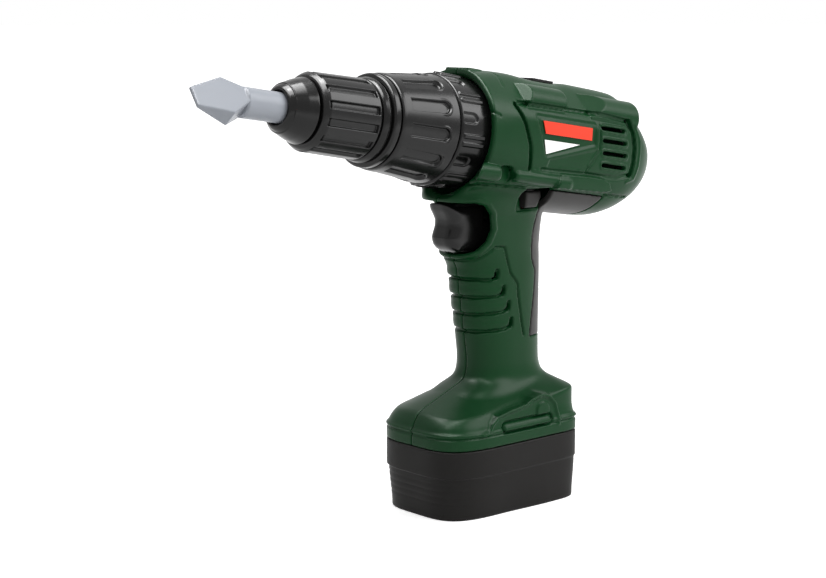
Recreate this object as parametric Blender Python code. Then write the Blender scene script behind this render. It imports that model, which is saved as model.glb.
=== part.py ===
# Toy power drill: a two-half moulded body with a geared chuck, trigger and battery base.
# +X runs to the back of the drill, +Z up, and the middle of the base's underside is the origin.
import math

import bmesh
import bpy
from mathutils import Matrix, Vector

for old in list(bpy.data.objects):
    bpy.data.objects.remove(old, do_unlink=True)

MM = 0.001

# Fits
GAP = 0.3 * MM
RUNNING_GAP = 0.4 * MM
WALL = 2.2 * MM
OVERCUT = 1.0 * MM
EDGE_ROUND = 1.0 * MM
FINE_ROUND = 0.5 * MM

# Facets round a circle: outer shells, their insides, large and small turned pieces, moulded bars, holes
BODY_SIDES = 20
SPACE_SIDES = 16
ROUND_SIDES = 24
CORE_SIDES = 16
BAR_SIDES = 10
HOLE_SIDES = 8

# Base and battery case
BASE_LENGTH = 85.0 * MM
BASE_WIDTH = 58.0 * MM
BASE_FRONT_SQUARENESS = 4.0
BASE_BACK_SQUARENESS = 9.0
CASE_HEIGHT = 33.0 * MM
CASE_STEP_Z = 20.0 * MM
CASE_STEP = 0.9 * MM
CASE_TAPER = 1.3 * MM
CASE_FOOT = 1.2 * MM
CASE_WALL = 2.4 * MM
TONGUE_HEIGHT = 4.0 * MM

# Handle, stacked up from the battery case
LIP_HEIGHT = 5.5 * MM
LIP_STEP = 0.8 * MM
SHOULDER_HEIGHT = 6.7 * MM
SHOULDER_LEAN = 1.5 * MM
DOME_HEIGHT = 11.5 * MM
DOME_FLARE = 3.4 * MM
DOME_REACH = 11.5 * MM
NECK_HEIGHT = 15.0 * MM
NECK_MIDDLE = 12.85 * MM
NECK_DEPTH = 42.3 * MM
NECK_WIDTH = 29.2 * MM
PALM_HEIGHT = 38.0 * MM
PALM_SWELL = 5.5 * MM
GUARD_HEIGHT = 11.5 * MM
GUARD_REACH = 4.5 * MM
THROAT_WIDEN = 7.0 * MM
THROAT_DEEPEN = 10.0 * MM

# Barrel axis: how far it leaves the body ahead of the neck and above the trigger, and its nose-up tilt
BARREL_AHEAD = 10.7 * MM
BARREL_RISE = 33.0 * MM
BARREL_TILT = math.radians(8.5)

# Body of the barrel, measured from its axis and from its front edge
BODY_LENGTH = 119.5 * MM
BODY_HALF_WIDTH = 30.0 * MM
BODY_TOP = 30.8 * MM
BODY_BOTTOM = 31.6 * MM
BODY_TAIL = 34.0 * MM
MOUTH_RIM = 1.5 * MM

# Bars moulded along the body: two over each shoulder, each with a slanted start, and two low on each side
RAIL_STARTS = (23.5 * MM, 68.0 * MM)
RAIL_ENDS = (88.0 * MM, 99.5 * MM)
RAIL_RADII = (9.4 * MM, 11.2 * MM)
RAIL_INSETS = (2.0 * MM, 1.2 * MM)
RAIL_LIFT = 0.8 * MM
RAIL_PROUD = 2.8 * MM
RAIL_SLANT = 1.5
PIPE_DROP = 16.0 * MM
PIPE_AHEAD = 8.0 * MM
PIPE_BREAK = 19.0 * MM
PIPE_END = 47.0 * MM
PIPE_RADIUS = 4.1 * MM
PIPE_THIN_RADIUS = 2.9 * MM
PIPE_PROUD = 0.7 * MM
PIPE_THIN_SINK = 0.4 * MM
SCOOP_LENGTH = 10.5 * MM
SCOOP_FLOOR = 2.8 * MM

# Grooves in the skin: one line down and one round the side panel, and the finger grooves of the handle
GROOVE_DEPTH = 1.0 * MM
GROOVE_WIDTH = 1.5 * MM
PANEL_FRONT = 14.0 * MM
PANEL_BACK = 106.0 * MM
PANEL_TOP = 16.6 * MM
PANEL_BOTTOM = -12.5 * MM
PANEL_CORNER = 8.0 * MM
FINGER_GROOVES = 4
FINGER_PITCH = 8.4 * MM
FINGER_DROP = 1.5 * MM
FINGER_REACH = 7.0 * MM
FINGER_STEP = 3.2 * MM
FINGER_HOOK = 1.8 * MM

# Battery cells, AA
CELL_DIAMETER = 14.2 * MM
CELL_LENGTH = 50.2 * MM
CELL_COUNT = 3
CELL_EDGE = 0.5 * MM
NUB_LENGTH = 1.2 * MM
NUB_RADIUS = 2.7 * MM
CONTACT_THICKNESS = 0.8 * MM
DOOR_THICKNESS = 2.0 * MM
DOOR_MARGIN = 1.2 * MM
DOOR_TAB = 9.0 * MM
DOOR_CORNER = 3.0 * MM
PARTITION = 2.0 * MM

# Chuck and rings, each a length along the axis and its radii
NOSE_LENGTH = 13.2 * MM
NOSE_TIP_RADIUS = 10.8 * MM
NOSE_RADIUS = 14.9 * MM
NOSE_ROUND = 3.2 * MM
SLEEVE_LENGTH = 31.0 * MM
SLEEVE_FRONT_RADIUS = 17.3 * MM
SLEEVE_BACK_RADIUS = 17.9 * MM
SLEEVE_SHOULDER = 2.4 * MM
SLEEVE_RIBS = 14
SLEEVE_RIB_WIDTH = 4.8 * MM
SLEEVE_RIB_DEPTH = 0.9 * MM
COLLAR_LENGTH = 8.0 * MM
COLLAR_FRONT_RADIUS = 18.4 * MM
COLLAR_RADIUS = 20.9 * MM
COLLAR_GROOVE = 1.0 * MM
RING_LENGTH = 31.0 * MM
RING_FRONT_RADIUS = 21.7 * MM
RING_BACK_RADIUS = 24.8 * MM
RING_BORE = 19.5 * MM
RING_CHAMFER = 1.5 * MM
RING_SLOTS = 12
RING_SLOT_LENGTH = 20.0 * MM
RING_SLOT_WIDTH = 5.4 * MM
RING_SLOT_DEPTH = 1.0 * MM
COVER_SHOW = 16.2 * MM
COVER_RADIUS = 25.6 * MM
COVER_DEPTH = 8.0 * MM
COVER_WALL = 2.8 * MM
COVER_RIDGES = 8
COVER_RIDGE_HEIGHT = 0.8 * MM
COVER_RIDGE_WIDTH = 5.0 * MM
COVER_RIDGE_END = 2.0 * MM
WEB_THICKNESS = 5.0 * MM

# Spindle and drill bit
HEAD_RADIUS = 10.5 * MM
HEAD_LENGTH = 18.0 * MM
SPINDLE_RADIUS = 6.5 * MM
GEAR_SHOULDER = 1.5 * MM
BUSH_WALL = 2.2 * MM
SHANK_RADIUS = 6.6 * MM
SHANK_LENGTH = 27.0 * MM
SHANK_CHAMFER = 0.8 * MM
DRIVE_SIDE = 9.0 * MM
DRIVE_LENGTH = 11.0 * MM
BLADE_LENGTH = 30.0 * MM
BLADE_WIDTH = 19.0 * MM
BLADE_TIP_WIDTH = 6.5 * MM
BLADE_ROOT_WIDTH = 8.0 * MM
BLADE_TIP_THICKNESS = 1.4 * MM
BLADE_ROOT_THICKNESS = 11.0 * MM
BLADE_BEVEL = 0.4 * MM
BLADE_LAP = 2.0 * MM
BLADE_TURN = math.radians(-42.5)
SOCKET_SPARE = 1.0 * MM

# Gears: the second pair takes its teeth from the first, as both pairs share their centres
GEAR_MODULE = 1.0 * MM
PINION_TEETH = 8
WHEEL_TEETH = 16
IDLER_TEETH = 8
GEAR_WIDTH = 5.0 * MM
GEAR_SPACE = 2.0 * MM
BACKLASH = 0.16 * MM
AXLE_RADIUS = 1.2 * MM
AXLE_STOP = 0.8 * MM
SHAFT_RADIUS = 1.0 * MM
SHAFT_DEPTH = 10.0 * MM
PLATE_THICKNESS = 2.5 * MM

# Motor
MOTOR_RADIUS = 12.0 * MM
MOTOR_LENGTH = 31.0 * MM
MOTOR_CRIMP = 1.0 * MM
MOTOR_BOSS_RADIUS = 3.0 * MM
MOTOR_BOSS_LENGTH = 1.8 * MM
CRADLE_THICKNESS = 2.0 * MM
CRADLE_BACK = 8.0 * MM
CRADLE_LEG = 3.4 * MM

# Trigger and switch
TRIGGER_HEIGHT = 22.0 * MM
TRIGGER_REACH = 16.3 * MM
TRIGGER_HOLE_DEPTH = 3.8 * MM
TRIGGER_HOLE_RADIUS = 10.8 * MM
TRIGGER_HOLLOW = 3.2 * MM
TRIGGER_WIDTH = 17.0 * MM
TRIGGER_SOFT_EDGE = 1.2 * MM
TRIGGER_TAIL_LENGTH = 8.5 * MM
TRIGGER_TAIL_DROP = 7.5 * MM
TRIGGER_TRAVEL = 5.0 * MM
SHELF_THICKNESS = 2.2 * MM
SHELF_LAP = 0.6 * MM
SPRING_RADIUS = 3.0 * MM
SPRING_WIRE = 0.7 * MM
SPRING_ROOM = 6.0 * MM
SPRING_COILS = 5
SPRING_POINTS = 8
SWITCH_LENGTH = 12.0 * MM
SWITCH_WIDTH = 14.0 * MM
SWITCH_HEIGHT = 14.0 * MM

# Selectors: the push-through direction button, and the speed slider on the roof
BUTTON_BEHIND = 23.8 * MM
BUTTON_RISE = 1.5 * MM
BUTTON_LENGTH = 11.0 * MM
BUTTON_HEIGHT = 8.0 * MM
BUTTON_PROUD = 0.5 * MM
BUTTON_TRAVEL = 2.5 * MM
BUTTON_SOFT_EDGE = 0.8 * MM
POCKET_MARGIN = 1.6 * MM
POCKET_AHEAD = 3.4 * MM
POCKET_FLOOR = 17.5 * MM
POCKET_BACKING = 1.2 * MM
SLIDER_START = 42.0 * MM
SLIDER_LENGTH = 14.0 * MM
SLIDER_WIDTH = 16.0 * MM
SLIDER_CORNER = 1.5 * MM
SLIDER_HEIGHT = 1.4 * MM
SLIDER_TRAVEL = 7.0 * MM
SLIDER_SINK = 1.3 * MM
SLIDER_STEM = 6.0 * MM
SLIDER_STEM_DEPTH = 3.0 * MM

# Side panel: sticker, vents
LABEL_START = 28.6 * MM
LABEL_LENGTH = 38.4 * MM
LABEL_LEAN = 8.4 * MM
LABEL_TOP = 11.5 * MM
LABEL_FRONT_DROP = 17.5 * MM
LABEL_BACK_DROP = 11.0 * MM
LABEL_DEPTH = 1.4 * MM
LABEL_THICKNESS = 0.3 * MM
VENT_START = 74.5 * MM
VENT_LENGTH = 15.8 * MM
VENT_LEAN = 1.1 * MM
VENT_HEIGHT = 2.4 * MM
VENT_PITCH = 5.8 * MM
VENT_TOP = 10.8 * MM
VENT_COUNT = 4

# Screws
SCREW_RADIUS = 1.3 * MM
SCREW_HEAD_RADIUS = 2.7 * MM
SCREW_HEAD_HEIGHT = 1.8 * MM
SCREW_REACH = 8.0 * MM
SCREW_SEAT = 6.0 * MM
DOOR_SCREW_REACH = 7.0 * MM
DOOR_SCREW_SINK = 1.0 * MM
BOSS_RADIUS = 3.4 * MM
BARREL_SCREWS = ((58.0 * MM, 20.0 * MM), (105.0 * MM, 2.0 * MM), (74.0 * MM, -12.5 * MM))
HANDLE_SCREW_RISE = 26.0 * MM
BASE_SCREW_X = 31.5 * MM
BASE_SCREW_RISE = 10.2 * MM

# Soft back of the handle
SOFT_STRIP_RISE = 3.0 * MM
SOFT_STRIP_DEPTH = 11.2 * MM
SOFT_WAVE = 1.2 * MM
SOFT_CORNER_DEPTH = 11.5 * MM
SOFT_TOP = -21.0 * MM
SOFT_BACK = 80.0 * MM
SOFT_BACK_LEAN = 8.0 * MM

# Leads
LEAD_RADIUS = 0.7 * MM
LEAD_STEP = 8.0 * MM
LEAD_INSET = 10.0 * MM
LEAD_BOW = 2.9 * MM

# Colours as linear RGB, roughness and metallic
GREEN_PLASTIC = ((0.008, 0.060, 0.023), 0.35, 0.0)
BLACK_PLASTIC = ((0.008, 0.008, 0.009), 0.30, 0.0)
CHARCOAL_RUBBER = ((0.030, 0.029, 0.029), 0.55, 0.0)
SILVER_PLASTIC = ((0.50, 0.52, 0.55), 0.35, 0.0)
STEEL = ((0.55, 0.55, 0.56), 0.30, 1.0)
GEAR_PLASTIC = ((0.75, 0.73, 0.68), 0.45, 0.0)
RED_PRINT = ((0.85, 0.045, 0.025), 0.40, 0.0)
MOTOR_CAN = ((0.50, 0.50, 0.51), 0.35, 1.0)
CELL_WRAP = ((0.02, 0.06, 0.20), 0.35, 0.0)
LEAD_VINYL = ((0.60, 0.02, 0.015), 0.45, 0.0)


def colour_of(name, look):
    found = bpy.data.materials.get(name)
    if found:
        return found
    made = bpy.data.materials.new(name)
    made.use_nodes = True
    shader = made.node_tree.nodes["Principled BSDF"]
    shader.inputs["Base Color"].default_value = (*look[0], 1.0)
    shader.inputs["Roughness"].default_value = look[1]
    shader.inputs["Metallic"].default_value = look[2]
    return made


LOOK_NAMES = {
    GREEN_PLASTIC: "green_abs",
    BLACK_PLASTIC: "black_abs",
    CHARCOAL_RUBBER: "charcoal_rubber",
    SILVER_PLASTIC: "silver_abs",
    STEEL: "steel",
    GEAR_PLASTIC: "gear_nylon",
    RED_PRINT: "red_sticker",
    MOTOR_CAN: "motor_can",
    CELL_WRAP: "cell_wrap",
    LEAD_VINYL: "lead_vinyl",
}


# Heights stacked up the handle, and the handle's front and back
lip_z = CASE_HEIGHT + GAP + LIP_HEIGHT
shoulder_z = lip_z + SHOULDER_HEIGHT
dome_z = shoulder_z + DOME_HEIGHT
neck_z = dome_z + NECK_HEIGHT
palm_z = neck_z + PALM_HEIGHT
trigger_bottom_z = palm_z + GUARD_HEIGHT
trigger_top_z = trigger_bottom_z + TRIGGER_HEIGHT
barrel_z = trigger_top_z + BARREL_RISE
neck_front = NECK_MIDDLE - NECK_DEPTH / 2
neck_back = NECK_MIDDLE + NECK_DEPTH / 2
barrel_x = neck_front - BARREL_AHEAD
trigger_front = neck_front - TRIGGER_REACH
trigger_hole_back = neck_front + TRIGGER_HOLE_DEPTH
trigger_tail = trigger_hole_back + TRIGGER_TAIL_LENGTH
switch_front = trigger_tail + TRIGGER_TRAVEL + SPRING_ROOM
button_x = neck_front + BUTTON_BEHIND
button_z = trigger_top_z + BUTTON_RISE
slider_floor = BODY_TOP - SLIDER_SINK
mouth_bore = COVER_RADIUS + GAP
mouth_radius = mouth_bore + WALL
base_powers = (BASE_FRONT_SQUARENESS, BASE_BACK_SQUARENESS)


def placed(name, bm, look, parent=None):
    bmesh.ops.recalc_face_normals(bm, faces=bm.faces)
    mesh = bpy.data.meshes.new(name)
    bm.to_mesh(mesh)
    bm.free()
    mesh.shade_smooth()
    mesh.set_sharp_from_angle(angle=math.radians(35))
    piece = bpy.data.objects.new(name, mesh)
    bpy.context.scene.collection.objects.link(piece)
    piece.parent = parent
    if look:
        mesh.materials.append(colour_of(LOOK_NAMES[look], look))
    return piece


def helper(name, bm, parent=None):
    piece = placed(name, bm, None, parent)
    piece.hide_render = True
    piece.display_type = "WIRE"
    return piece


def empty(name, location, tilt=0.0, parent=None):
    axis = bpy.data.objects.new(name, None)
    bpy.context.scene.collection.objects.link(axis)
    axis.location = location
    axis.rotation_euler = (0.0, tilt, 0.0)
    axis.parent = parent
    return axis


def boolean(piece, other, operation):
    step = piece.modifiers.new(operation.lower() + "_" + other.name, "BOOLEAN")
    step.operation = operation
    step.solver = "EXACT"
    step.object = other


def turned(profile, sides):
    # A closed (x, radius) outline spun round the X axis.
    bm = bmesh.new()
    verts = [bm.verts.new((x, 0.0, radius)) for x, radius in profile]
    edges = [bm.edges.new((a, b)) for a, b in zip(verts, verts[1:] + verts[:1])]
    bmesh.ops.spin(bm, geom=verts + edges, cent=(0, 0, 0), axis=(1, 0, 0), angle=math.tau, steps=sides)
    bmesh.ops.remove_doubles(bm, verts=bm.verts, dist=1e-6)
    loose = [edge for edge in bm.edges if not edge.link_faces]
    bmesh.ops.delete(bm, geom=loose, context="EDGES")
    return bm


def prism(outline, low, high, axis="Y"):
    # An outline extruded along Y, with (x, z) points, or along X, with (y, z) points, or along Z.
    frames = {"X": (1, 2, 0), "Y": (0, 2, 1), "Z": (0, 1, 2)}
    first, second, along = frames[axis]
    bm = bmesh.new()
    rings = []
    for level in (low, high):
        ring = []
        for a, b in outline:
            point = [0.0, 0.0, 0.0]
            point[first] = a
            point[second] = b
            point[along] = level
            ring.append(bm.verts.new(point))
        rings.append(ring)
    close_rings(bm, rings)
    return bm


def close_rings(bm, rings):
    # Walls between neighbouring rings, and a cap on the first and last.
    for near, far in zip(rings, rings[1:]):
        for i in range(len(near)):
            j = (i + 1) % len(near)
            bm.faces.new((near[i], near[j], far[j], far[i]))
    bm.faces.new(rings[0])
    bm.faces.new(rings[-1])


def rounded_box(x0, x1, y0, y1, radius, corner_steps=3):
    # The outline of a rectangle with round corners.
    outline = []
    centres = [(x1 - radius, y1 - radius), (x0 + radius, y1 - radius)]
    centres += [(x0 + radius, y0 + radius), (x1 - radius, y0 + radius)]
    for corner, (cx, cy) in enumerate(centres):
        for step in range(corner_steps + 1):
            turn = math.pi / 2 * (corner + step / corner_steps)
            outline.append((cx + radius * math.cos(turn), cy + radius * math.sin(turn)))
    return outline


def oval(front, back, low, high, powers, sides):
    # A superellipse outline whose quarters may differ in reach, and in squareness from front to back.
    outline = []
    for k in range(sides):
        turn = math.tau * (k + 0.5) / sides
        c, s = math.cos(turn), math.sin(turn)
        power = powers[1] if c > 0 else powers[0]
        a = math.copysign(abs(c) ** (2 / power), c) * (back if c > 0 else -front)
        b = math.copysign(abs(s) ** (2 / power), s) * (high if s > 0 else -low)
        outline.append((a, b))
    return outline


def between(share, low, high):
    return low + share * (high - low)


def barrel_sections(inset, sides):
    # The round mouth that holds the gearbox cover, then stations along the barrel: place, then the share
    # of width, top and bottom, then squareness.
    tail = BODY_LENGTH - BODY_TAIL
    stations = [
        (0.11 * tail, 1.0, 0.981, 0.962, 2.25),
        (0.27 * tail, 1.0, 1.0, 0.987, 2.6),
        (0.44 * tail, 1.0, 0.99, 1.0, 3.0),
        (0.69 * tail, 1.0, 1.006, 1.003, 3.0),
        (tail, 0.983, 0.997, 0.997, 3.0),
        (tail + 0.30 * BODY_TAIL, 0.967, 0.981, 0.902, 3.0),
        (tail + 0.58 * BODY_TAIL, 0.917, 0.909, 0.744, 3.0),
        (tail + 0.82 * BODY_TAIL, 0.8, 0.812, 0.554, 2.8),
        (BODY_LENGTH, 0.567, 0.584, 0.348, 2.6),
    ]
    mouth = mouth_radius + MOUTH_RIM - inset
    sections = [(inset, oval(-mouth, mouth, -mouth, mouth, (2.1, 2.1), sides))]
    for place, wide, top, bottom, power in stations:
        half = BODY_HALF_WIDTH * wide - inset
        low = BODY_BOTTOM * bottom - inset
        high = BODY_TOP * top - inset
        place = min(place, BODY_LENGTH - inset)
        sections.append((place, oval(-half, half, -low, high, (power, power), sides)))
    return sections


def grip_sections(inset, sides):
    # Heights from the base's lower edge up into the barrel: front, back, half width, squareness, which
    # may differ at the back.
    front = -BASE_LENGTH / 2
    back = BASE_LENGTH / 2
    half_width = BASE_WIDTH / 2
    neck = NECK_WIDTH / 2
    dome_front = neck_front - DOME_REACH
    dome_back = neck_back + 0.36 * DOME_REACH
    dome_half = neck + DOME_FLARE
    palm_front = neck_front - PALM_SWELL
    throat_half = neck + THROAT_WIDEN
    throat_back = neck_back + THROAT_DEEPEN
    stations = [
        (CASE_HEIGHT + GAP, front, back, half_width, *base_powers),
        (lip_z, front, back, half_width, *base_powers),
        (lip_z + LIP_STEP, front + LIP_STEP, back - LIP_STEP, half_width - LIP_STEP, *base_powers),
        (shoulder_z, front + SHOULDER_LEAN, back - SHOULDER_LEAN, half_width - SHOULDER_LEAN, *base_powers),
    ]
    slopes = ((0.25, 0.18, 0.02, 0.15, 4.0, 8.5), (0.60, 0.58, 0.1, 0.46, 3.6, 7.5))
    for share, inward, outward, narrow, *powers in slopes:
        stations.append((
            between(share, shoulder_z, dome_z),
            between(inward, front + SHOULDER_LEAN, dome_front),
            between(outward, back - SHOULDER_LEAN, dome_back),
            between(narrow, half_width - SHOULDER_LEAN, dome_half),
            *powers,
        ))
    stations += [
        (dome_z, dome_front, dome_back, dome_half, 3.0),
        (between(0.27, dome_z, neck_z), between(0.8, dome_front, neck_front), between(0.7, dome_back, neck_back),
         between(0.7, dome_half, neck), 2.7),
        (between(0.60, dome_z, neck_z), between(0.97, dome_front, neck_front), neck_back,
         between(0.88, dome_half, neck), 2.6),
        (neck_z, neck_front, neck_back, neck, 2.6),
        (between(0.35, neck_z, palm_z), between(0.3, neck_front, palm_front), neck_back, neck, 2.6),
        (palm_z, palm_front, neck_back, between(0.14, neck, throat_half), 2.6),
        (between(0.65, palm_z, trigger_bottom_z), palm_front, neck_back,
         between(0.17, neck, throat_half), 2.6),
        (trigger_bottom_z, palm_front - GUARD_REACH, neck_back, between(0.21, neck, throat_half), 2.6),
        (between(0.73, trigger_bottom_z, trigger_top_z), trigger_front, between(0.06, neck_back, throat_back),
         between(0.5, neck, throat_half), 2.8),
        (between(0.12, trigger_top_z, barrel_z), trigger_front, throat_back, throat_half, 3.0),
        (between(0.62, trigger_top_z, barrel_z), between(0.34, trigger_front, neck_front), throat_back,
         throat_half, 3.0),
    ]
    sections = []
    for height, front, back, half, *powers in stations:
        middle = (front + back) / 2
        reach = (back - front) / 2 - inset
        ring = oval(-reach, reach, -(half - inset), half - inset, (powers[0], powers[-1]), sides)
        sections.append((height, [(x + middle, y) for x, y in ring]))
    return sections


def lofted(sections, axis):
    # Rings stacked along the barrel (axis X, points y and z) or up the handle (axis Z, points x and y).
    bm = bmesh.new()
    rings = []
    for place, outline in sections:
        if axis == "X":
            rings.append([bm.verts.new((place, a, b)) for a, b in outline])
        else:
            rings.append([bm.verts.new((a, b, place)) for a, b in outline])
    close_rings(bm, rings)
    bmesh.ops.triangulate(bm, faces=bm.faces)
    return bm


def gear_outline(teeth, gap_at):
    # An involute wheel with a tooth gap at the given angle.
    pitch = GEAR_MODULE * teeth / 2
    base = pitch * math.cos(math.radians(20))
    root = pitch - 1.25 * GEAR_MODULE
    tip = pitch + 0.8 * GEAR_MODULE
    half_tooth = (math.pi / 2 - BACKLASH / GEAR_MODULE / 2) / teeth
    level = math.tan(math.radians(20)) - math.radians(20)
    radii = [root, max(root, base), tip]
    flank = []
    for radius in radii:
        lean = math.acos(min(1.0, base / radius))
        flank.append((radius, half_tooth + level - (math.tan(lean) - lean)))
    outline = []
    for k in range(teeth):
        middle = gap_at + math.tau * (k + 0.5) / teeth
        tooth = [(radius, middle - half) for radius, half in flank]
        tooth += [(radius, middle + half) for radius, half in reversed(flank)]
        for radius, turn in tooth:
            outline.append((radius * math.cos(turn), radius * math.sin(turn)))
    return outline


def wedge_lengths(outline, index):
    # The two unit edges that meet at a point of an outline.
    here = Vector(outline[index])
    before = here - Vector(outline[index - 1])
    after = Vector(outline[(index + 1) % len(outline)]) - here
    return before.normalized(), after.normalized()


def grown(outline, margin):
    # The same outline with every edge moved out by the margin.
    area = 0.0
    for index, (x, y) in enumerate(outline):
        px, py = outline[index - 1]
        area += px * y - x * py
    side = 1.0 if area > 0 else -1.0
    moved = []
    for index, point in enumerate(outline):
        before, after = wedge_lengths(outline, index)
        out_before = Vector((before.y, -before.x)) * side
        out_after = Vector((after.y, -after.x)) * side
        middle = (out_before + out_after).normalized()
        reach = margin / max(0.3, middle.dot(out_after))
        moved.append(tuple(Vector(point) + middle * reach))
    return moved


def circle(x, y, radius, sides=HOLE_SIDES):
    outline = []
    for k in range(sides):
        turn = math.tau * k / sides
        outline.append((x + radius * math.cos(turn), y + radius * math.sin(turn)))
    return outline


def rod(low, high, radius, sides=HOLE_SIDES):
    # A plain round bar along X.
    return turned([(low, 0.0), (low, radius), (high, radius), (high, 0.0)], sides)


# Places along the barrel axis
cover_front = -COVER_SHOW
ring_back = cover_front - GAP
ring_front = ring_back - RING_LENGTH
collar_back = ring_front - GAP
collar_front = collar_back - COLLAR_LENGTH
sleeve_back = collar_front - GAP
sleeve_front = sleeve_back - SLEEVE_LENGTH
nose_back = sleeve_front - GAP
nose_front = nose_back - NOSE_LENGTH
head_front = sleeve_front + GAP
head_back = head_front + HEAD_LENGTH
web_front = ring_front + RING_CHAMFER
web_back = cover_front + WEB_THICKNESS
idler_drop = GEAR_MODULE * (PINION_TEETH + WHEEL_TEETH) / 2
output_teeth = PINION_TEETH + WHEEL_TEETH - IDLER_TEETH
output_low = web_back + GEAR_SHOULDER
output_high = output_low + GEAR_WIDTH
wheel_low = output_high + GEAR_SPACE
wheel_high = wheel_low + GEAR_WIDTH
plate_low = COVER_DEPTH - PLATE_THICKNESS
motor_front = COVER_DEPTH + GAP
motor_back = motor_front + MOTOR_LENGTH
bush_outer = SPINDLE_RADIUS + RUNNING_GAP + BUSH_WALL
cover_bore = COVER_RADIUS - COVER_WALL
gear_seat = SPINDLE_RADIUS - GEAR_SHOULDER
axle_start = cover_front + AXLE_STOP

barrel_forward = Vector((math.cos(BARREL_TILT), 0.0, -math.sin(BARREL_TILT)))
barrel_up = Vector((math.sin(BARREL_TILT), 0.0, math.cos(BARREL_TILT)))


def barrel_point(place, height):
    # World X and Z of a place on the barrel's middle plane.
    point = Vector((barrel_x, 0.0, barrel_z)) + place * barrel_forward + height * barrel_up
    return point.x, point.z


barrel = empty("barrel_axis", (barrel_x, 0.0, barrel_z), BARREL_TILT)
idler_axis = empty("idler_gear_axis", (0.0, 0.0, -idler_drop), 0.0, barrel)

# Battery bay and door, measured from the cells
cell_radius = CELL_DIAMETER / 2
cell_pitch = CELL_DIAMETER + GAP
cell_z = DOOR_THICKNESS + 2 * GAP + cell_radius
bay_half_length = CELL_LENGTH / 2 + CONTACT_THICKNESS + 2 * GAP
bay_half_width = CELL_COUNT * cell_pitch / 2 + GAP
bay_top = cell_z + cell_radius + GAP
door_back = bay_half_length + DOOR_TAB
door_screw_x = bay_half_length + DOOR_TAB / 2

# Trigger shelves, and the block that the direction button slides in
shelf_top = trigger_bottom_z + SHELF_LAP
roof_low = trigger_top_z - SHELF_LAP
switch_low = shelf_top + GAP
switch_back = switch_front + SWITCH_LENGTH
tunnel_front = button_x - BUTTON_LENGTH / 2 - POCKET_MARGIN - POCKET_AHEAD - POCKET_BACKING
trigger_shoulder = tunnel_front - TRIGGER_TRAVEL - 2 * RUNNING_GAP

screw_places = [barrel_point(*place) for place in BARREL_SCREWS]
screw_places.append((NECK_MIDDLE, neck_z + HANDLE_SCREW_RISE))
screw_places.append((-BASE_SCREW_X, CASE_HEIGHT + BASE_SCREW_RISE))
screw_places.append((BASE_SCREW_X, CASE_HEIGHT + BASE_SCREW_RISE))


def trigger_opening():
    # The D-shaped opening: flat above and below, round at the back, open to the front.
    radius = TRIGGER_HOLE_RADIUS
    middle = trigger_hole_back - radius
    ahead = trigger_front - BODY_HALF_WIDTH
    steps = 5
    outline = [(ahead, trigger_top_z)]
    for centre_z, start in ((trigger_top_z - radius, math.pi / 2), (trigger_bottom_z + radius, 0.0)):
        for step in range(steps + 1):
            turn = start - math.pi / 2 * step / steps
            outline.append((middle + radius * math.cos(turn), centre_z + radius * math.sin(turn)))
    outline.append((ahead, trigger_bottom_z))
    return outline


def button_outline(margin=0.0, ahead=0.0):
    half_length = BUTTON_LENGTH / 2 + margin
    half_height = BUTTON_HEIGHT / 2 + margin
    front = button_x - half_length - ahead
    edges = (front, button_x + half_length, button_z - half_height, button_z + half_height)
    return rounded_box(*edges, EDGE_ROUND + margin, 2)


def label_outline():
    # The sticker's place on the side: a band with a leaning front, whose lower edge rises to the back.
    end = LABEL_START + LABEL_LENGTH
    return [
        (LABEL_START, LABEL_TOP),
        (LABEL_START + LABEL_LEAN, LABEL_TOP - LABEL_FRONT_DROP),
        (end, LABEL_TOP - LABEL_BACK_DROP),
        (end, LABEL_TOP),
    ]


def soft_back_outline():
    # Side view of the soft back: under the barrel's tail and down the back of the handle.
    bottom = neck_z + SOFT_STRIP_RISE
    edge = neck_back - SOFT_STRIP_DEPTH
    corner = neck_back - SOFT_CORNER_DEPTH
    top_back = barrel_point(SOFT_BACK, SOFT_TOP)
    low_back = barrel_point(SOFT_BACK - SOFT_BACK_LEAN, -BODY_BOTTOM - OVERCUT)
    top_start = barrel_point(0.0, SOFT_TOP)
    slope = (top_back[1] - top_start[1]) / (top_back[0] - top_start[0])
    corner_z = top_start[1] + slope * (corner - top_start[0])
    turn_z = button_z - BUTTON_HEIGHT / 2 - POCKET_MARGIN
    return [
        (edge, bottom),
        (low_back[0], bottom),
        low_back,
        top_back,
        (corner, corner_z),
        (corner, turn_z),
        (edge - SOFT_WAVE, between(0.2, trigger_bottom_z, trigger_top_z)),
        (edge - SOFT_WAVE, between(0.4, palm_z, trigger_bottom_z)),
        (edge + SOFT_WAVE, palm_z),
    ]


def make_hollow():
    # The space inside the body, less the posts, shelves and cradles that stand in it.
    space = plain_space("body_space")
    span = BODY_HALF_WIDTH
    for number, (x, z) in enumerate(screw_places):
        post = prism(circle(x, z, BOSS_RADIUS), -span, span)
        boolean(space, helper(f"boss_{number}", post), "DIFFERENCE")
    low = shelf_top - SHELF_THICKNESS
    shelf = rounded_box(trigger_front, switch_back + GAP, low, shelf_top, FINE_ROUND, 1)
    boolean(space, helper("trigger_shelf", prism(shelf, -span, span)), "DIFFERENCE")
    roof = rounded_box(trigger_front, button_x, roof_low, roof_low + SHELF_THICKNESS, FINE_ROUND, 1)
    boolean(space, helper("trigger_roof", prism(roof, -span, span)), "DIFFERENCE")
    block = button_outline(POCKET_MARGIN + POCKET_BACKING, POCKET_AHEAD)
    boolean(space, helper("button_tunnel", prism(block, -span, span)), "DIFFERENCE")
    boolean(space, motor_cradle(), "DIFFERENCE")
    return space


def plain_space(name):
    space = helper(name, lofted(barrel_sections(WALL, SPACE_SIDES), "X"), barrel)
    grip = helper(name + "_grip", lofted(grip_sections(WALL, SPACE_SIDES), "Z"))
    boolean(space, grip, "UNION")
    return space


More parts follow.
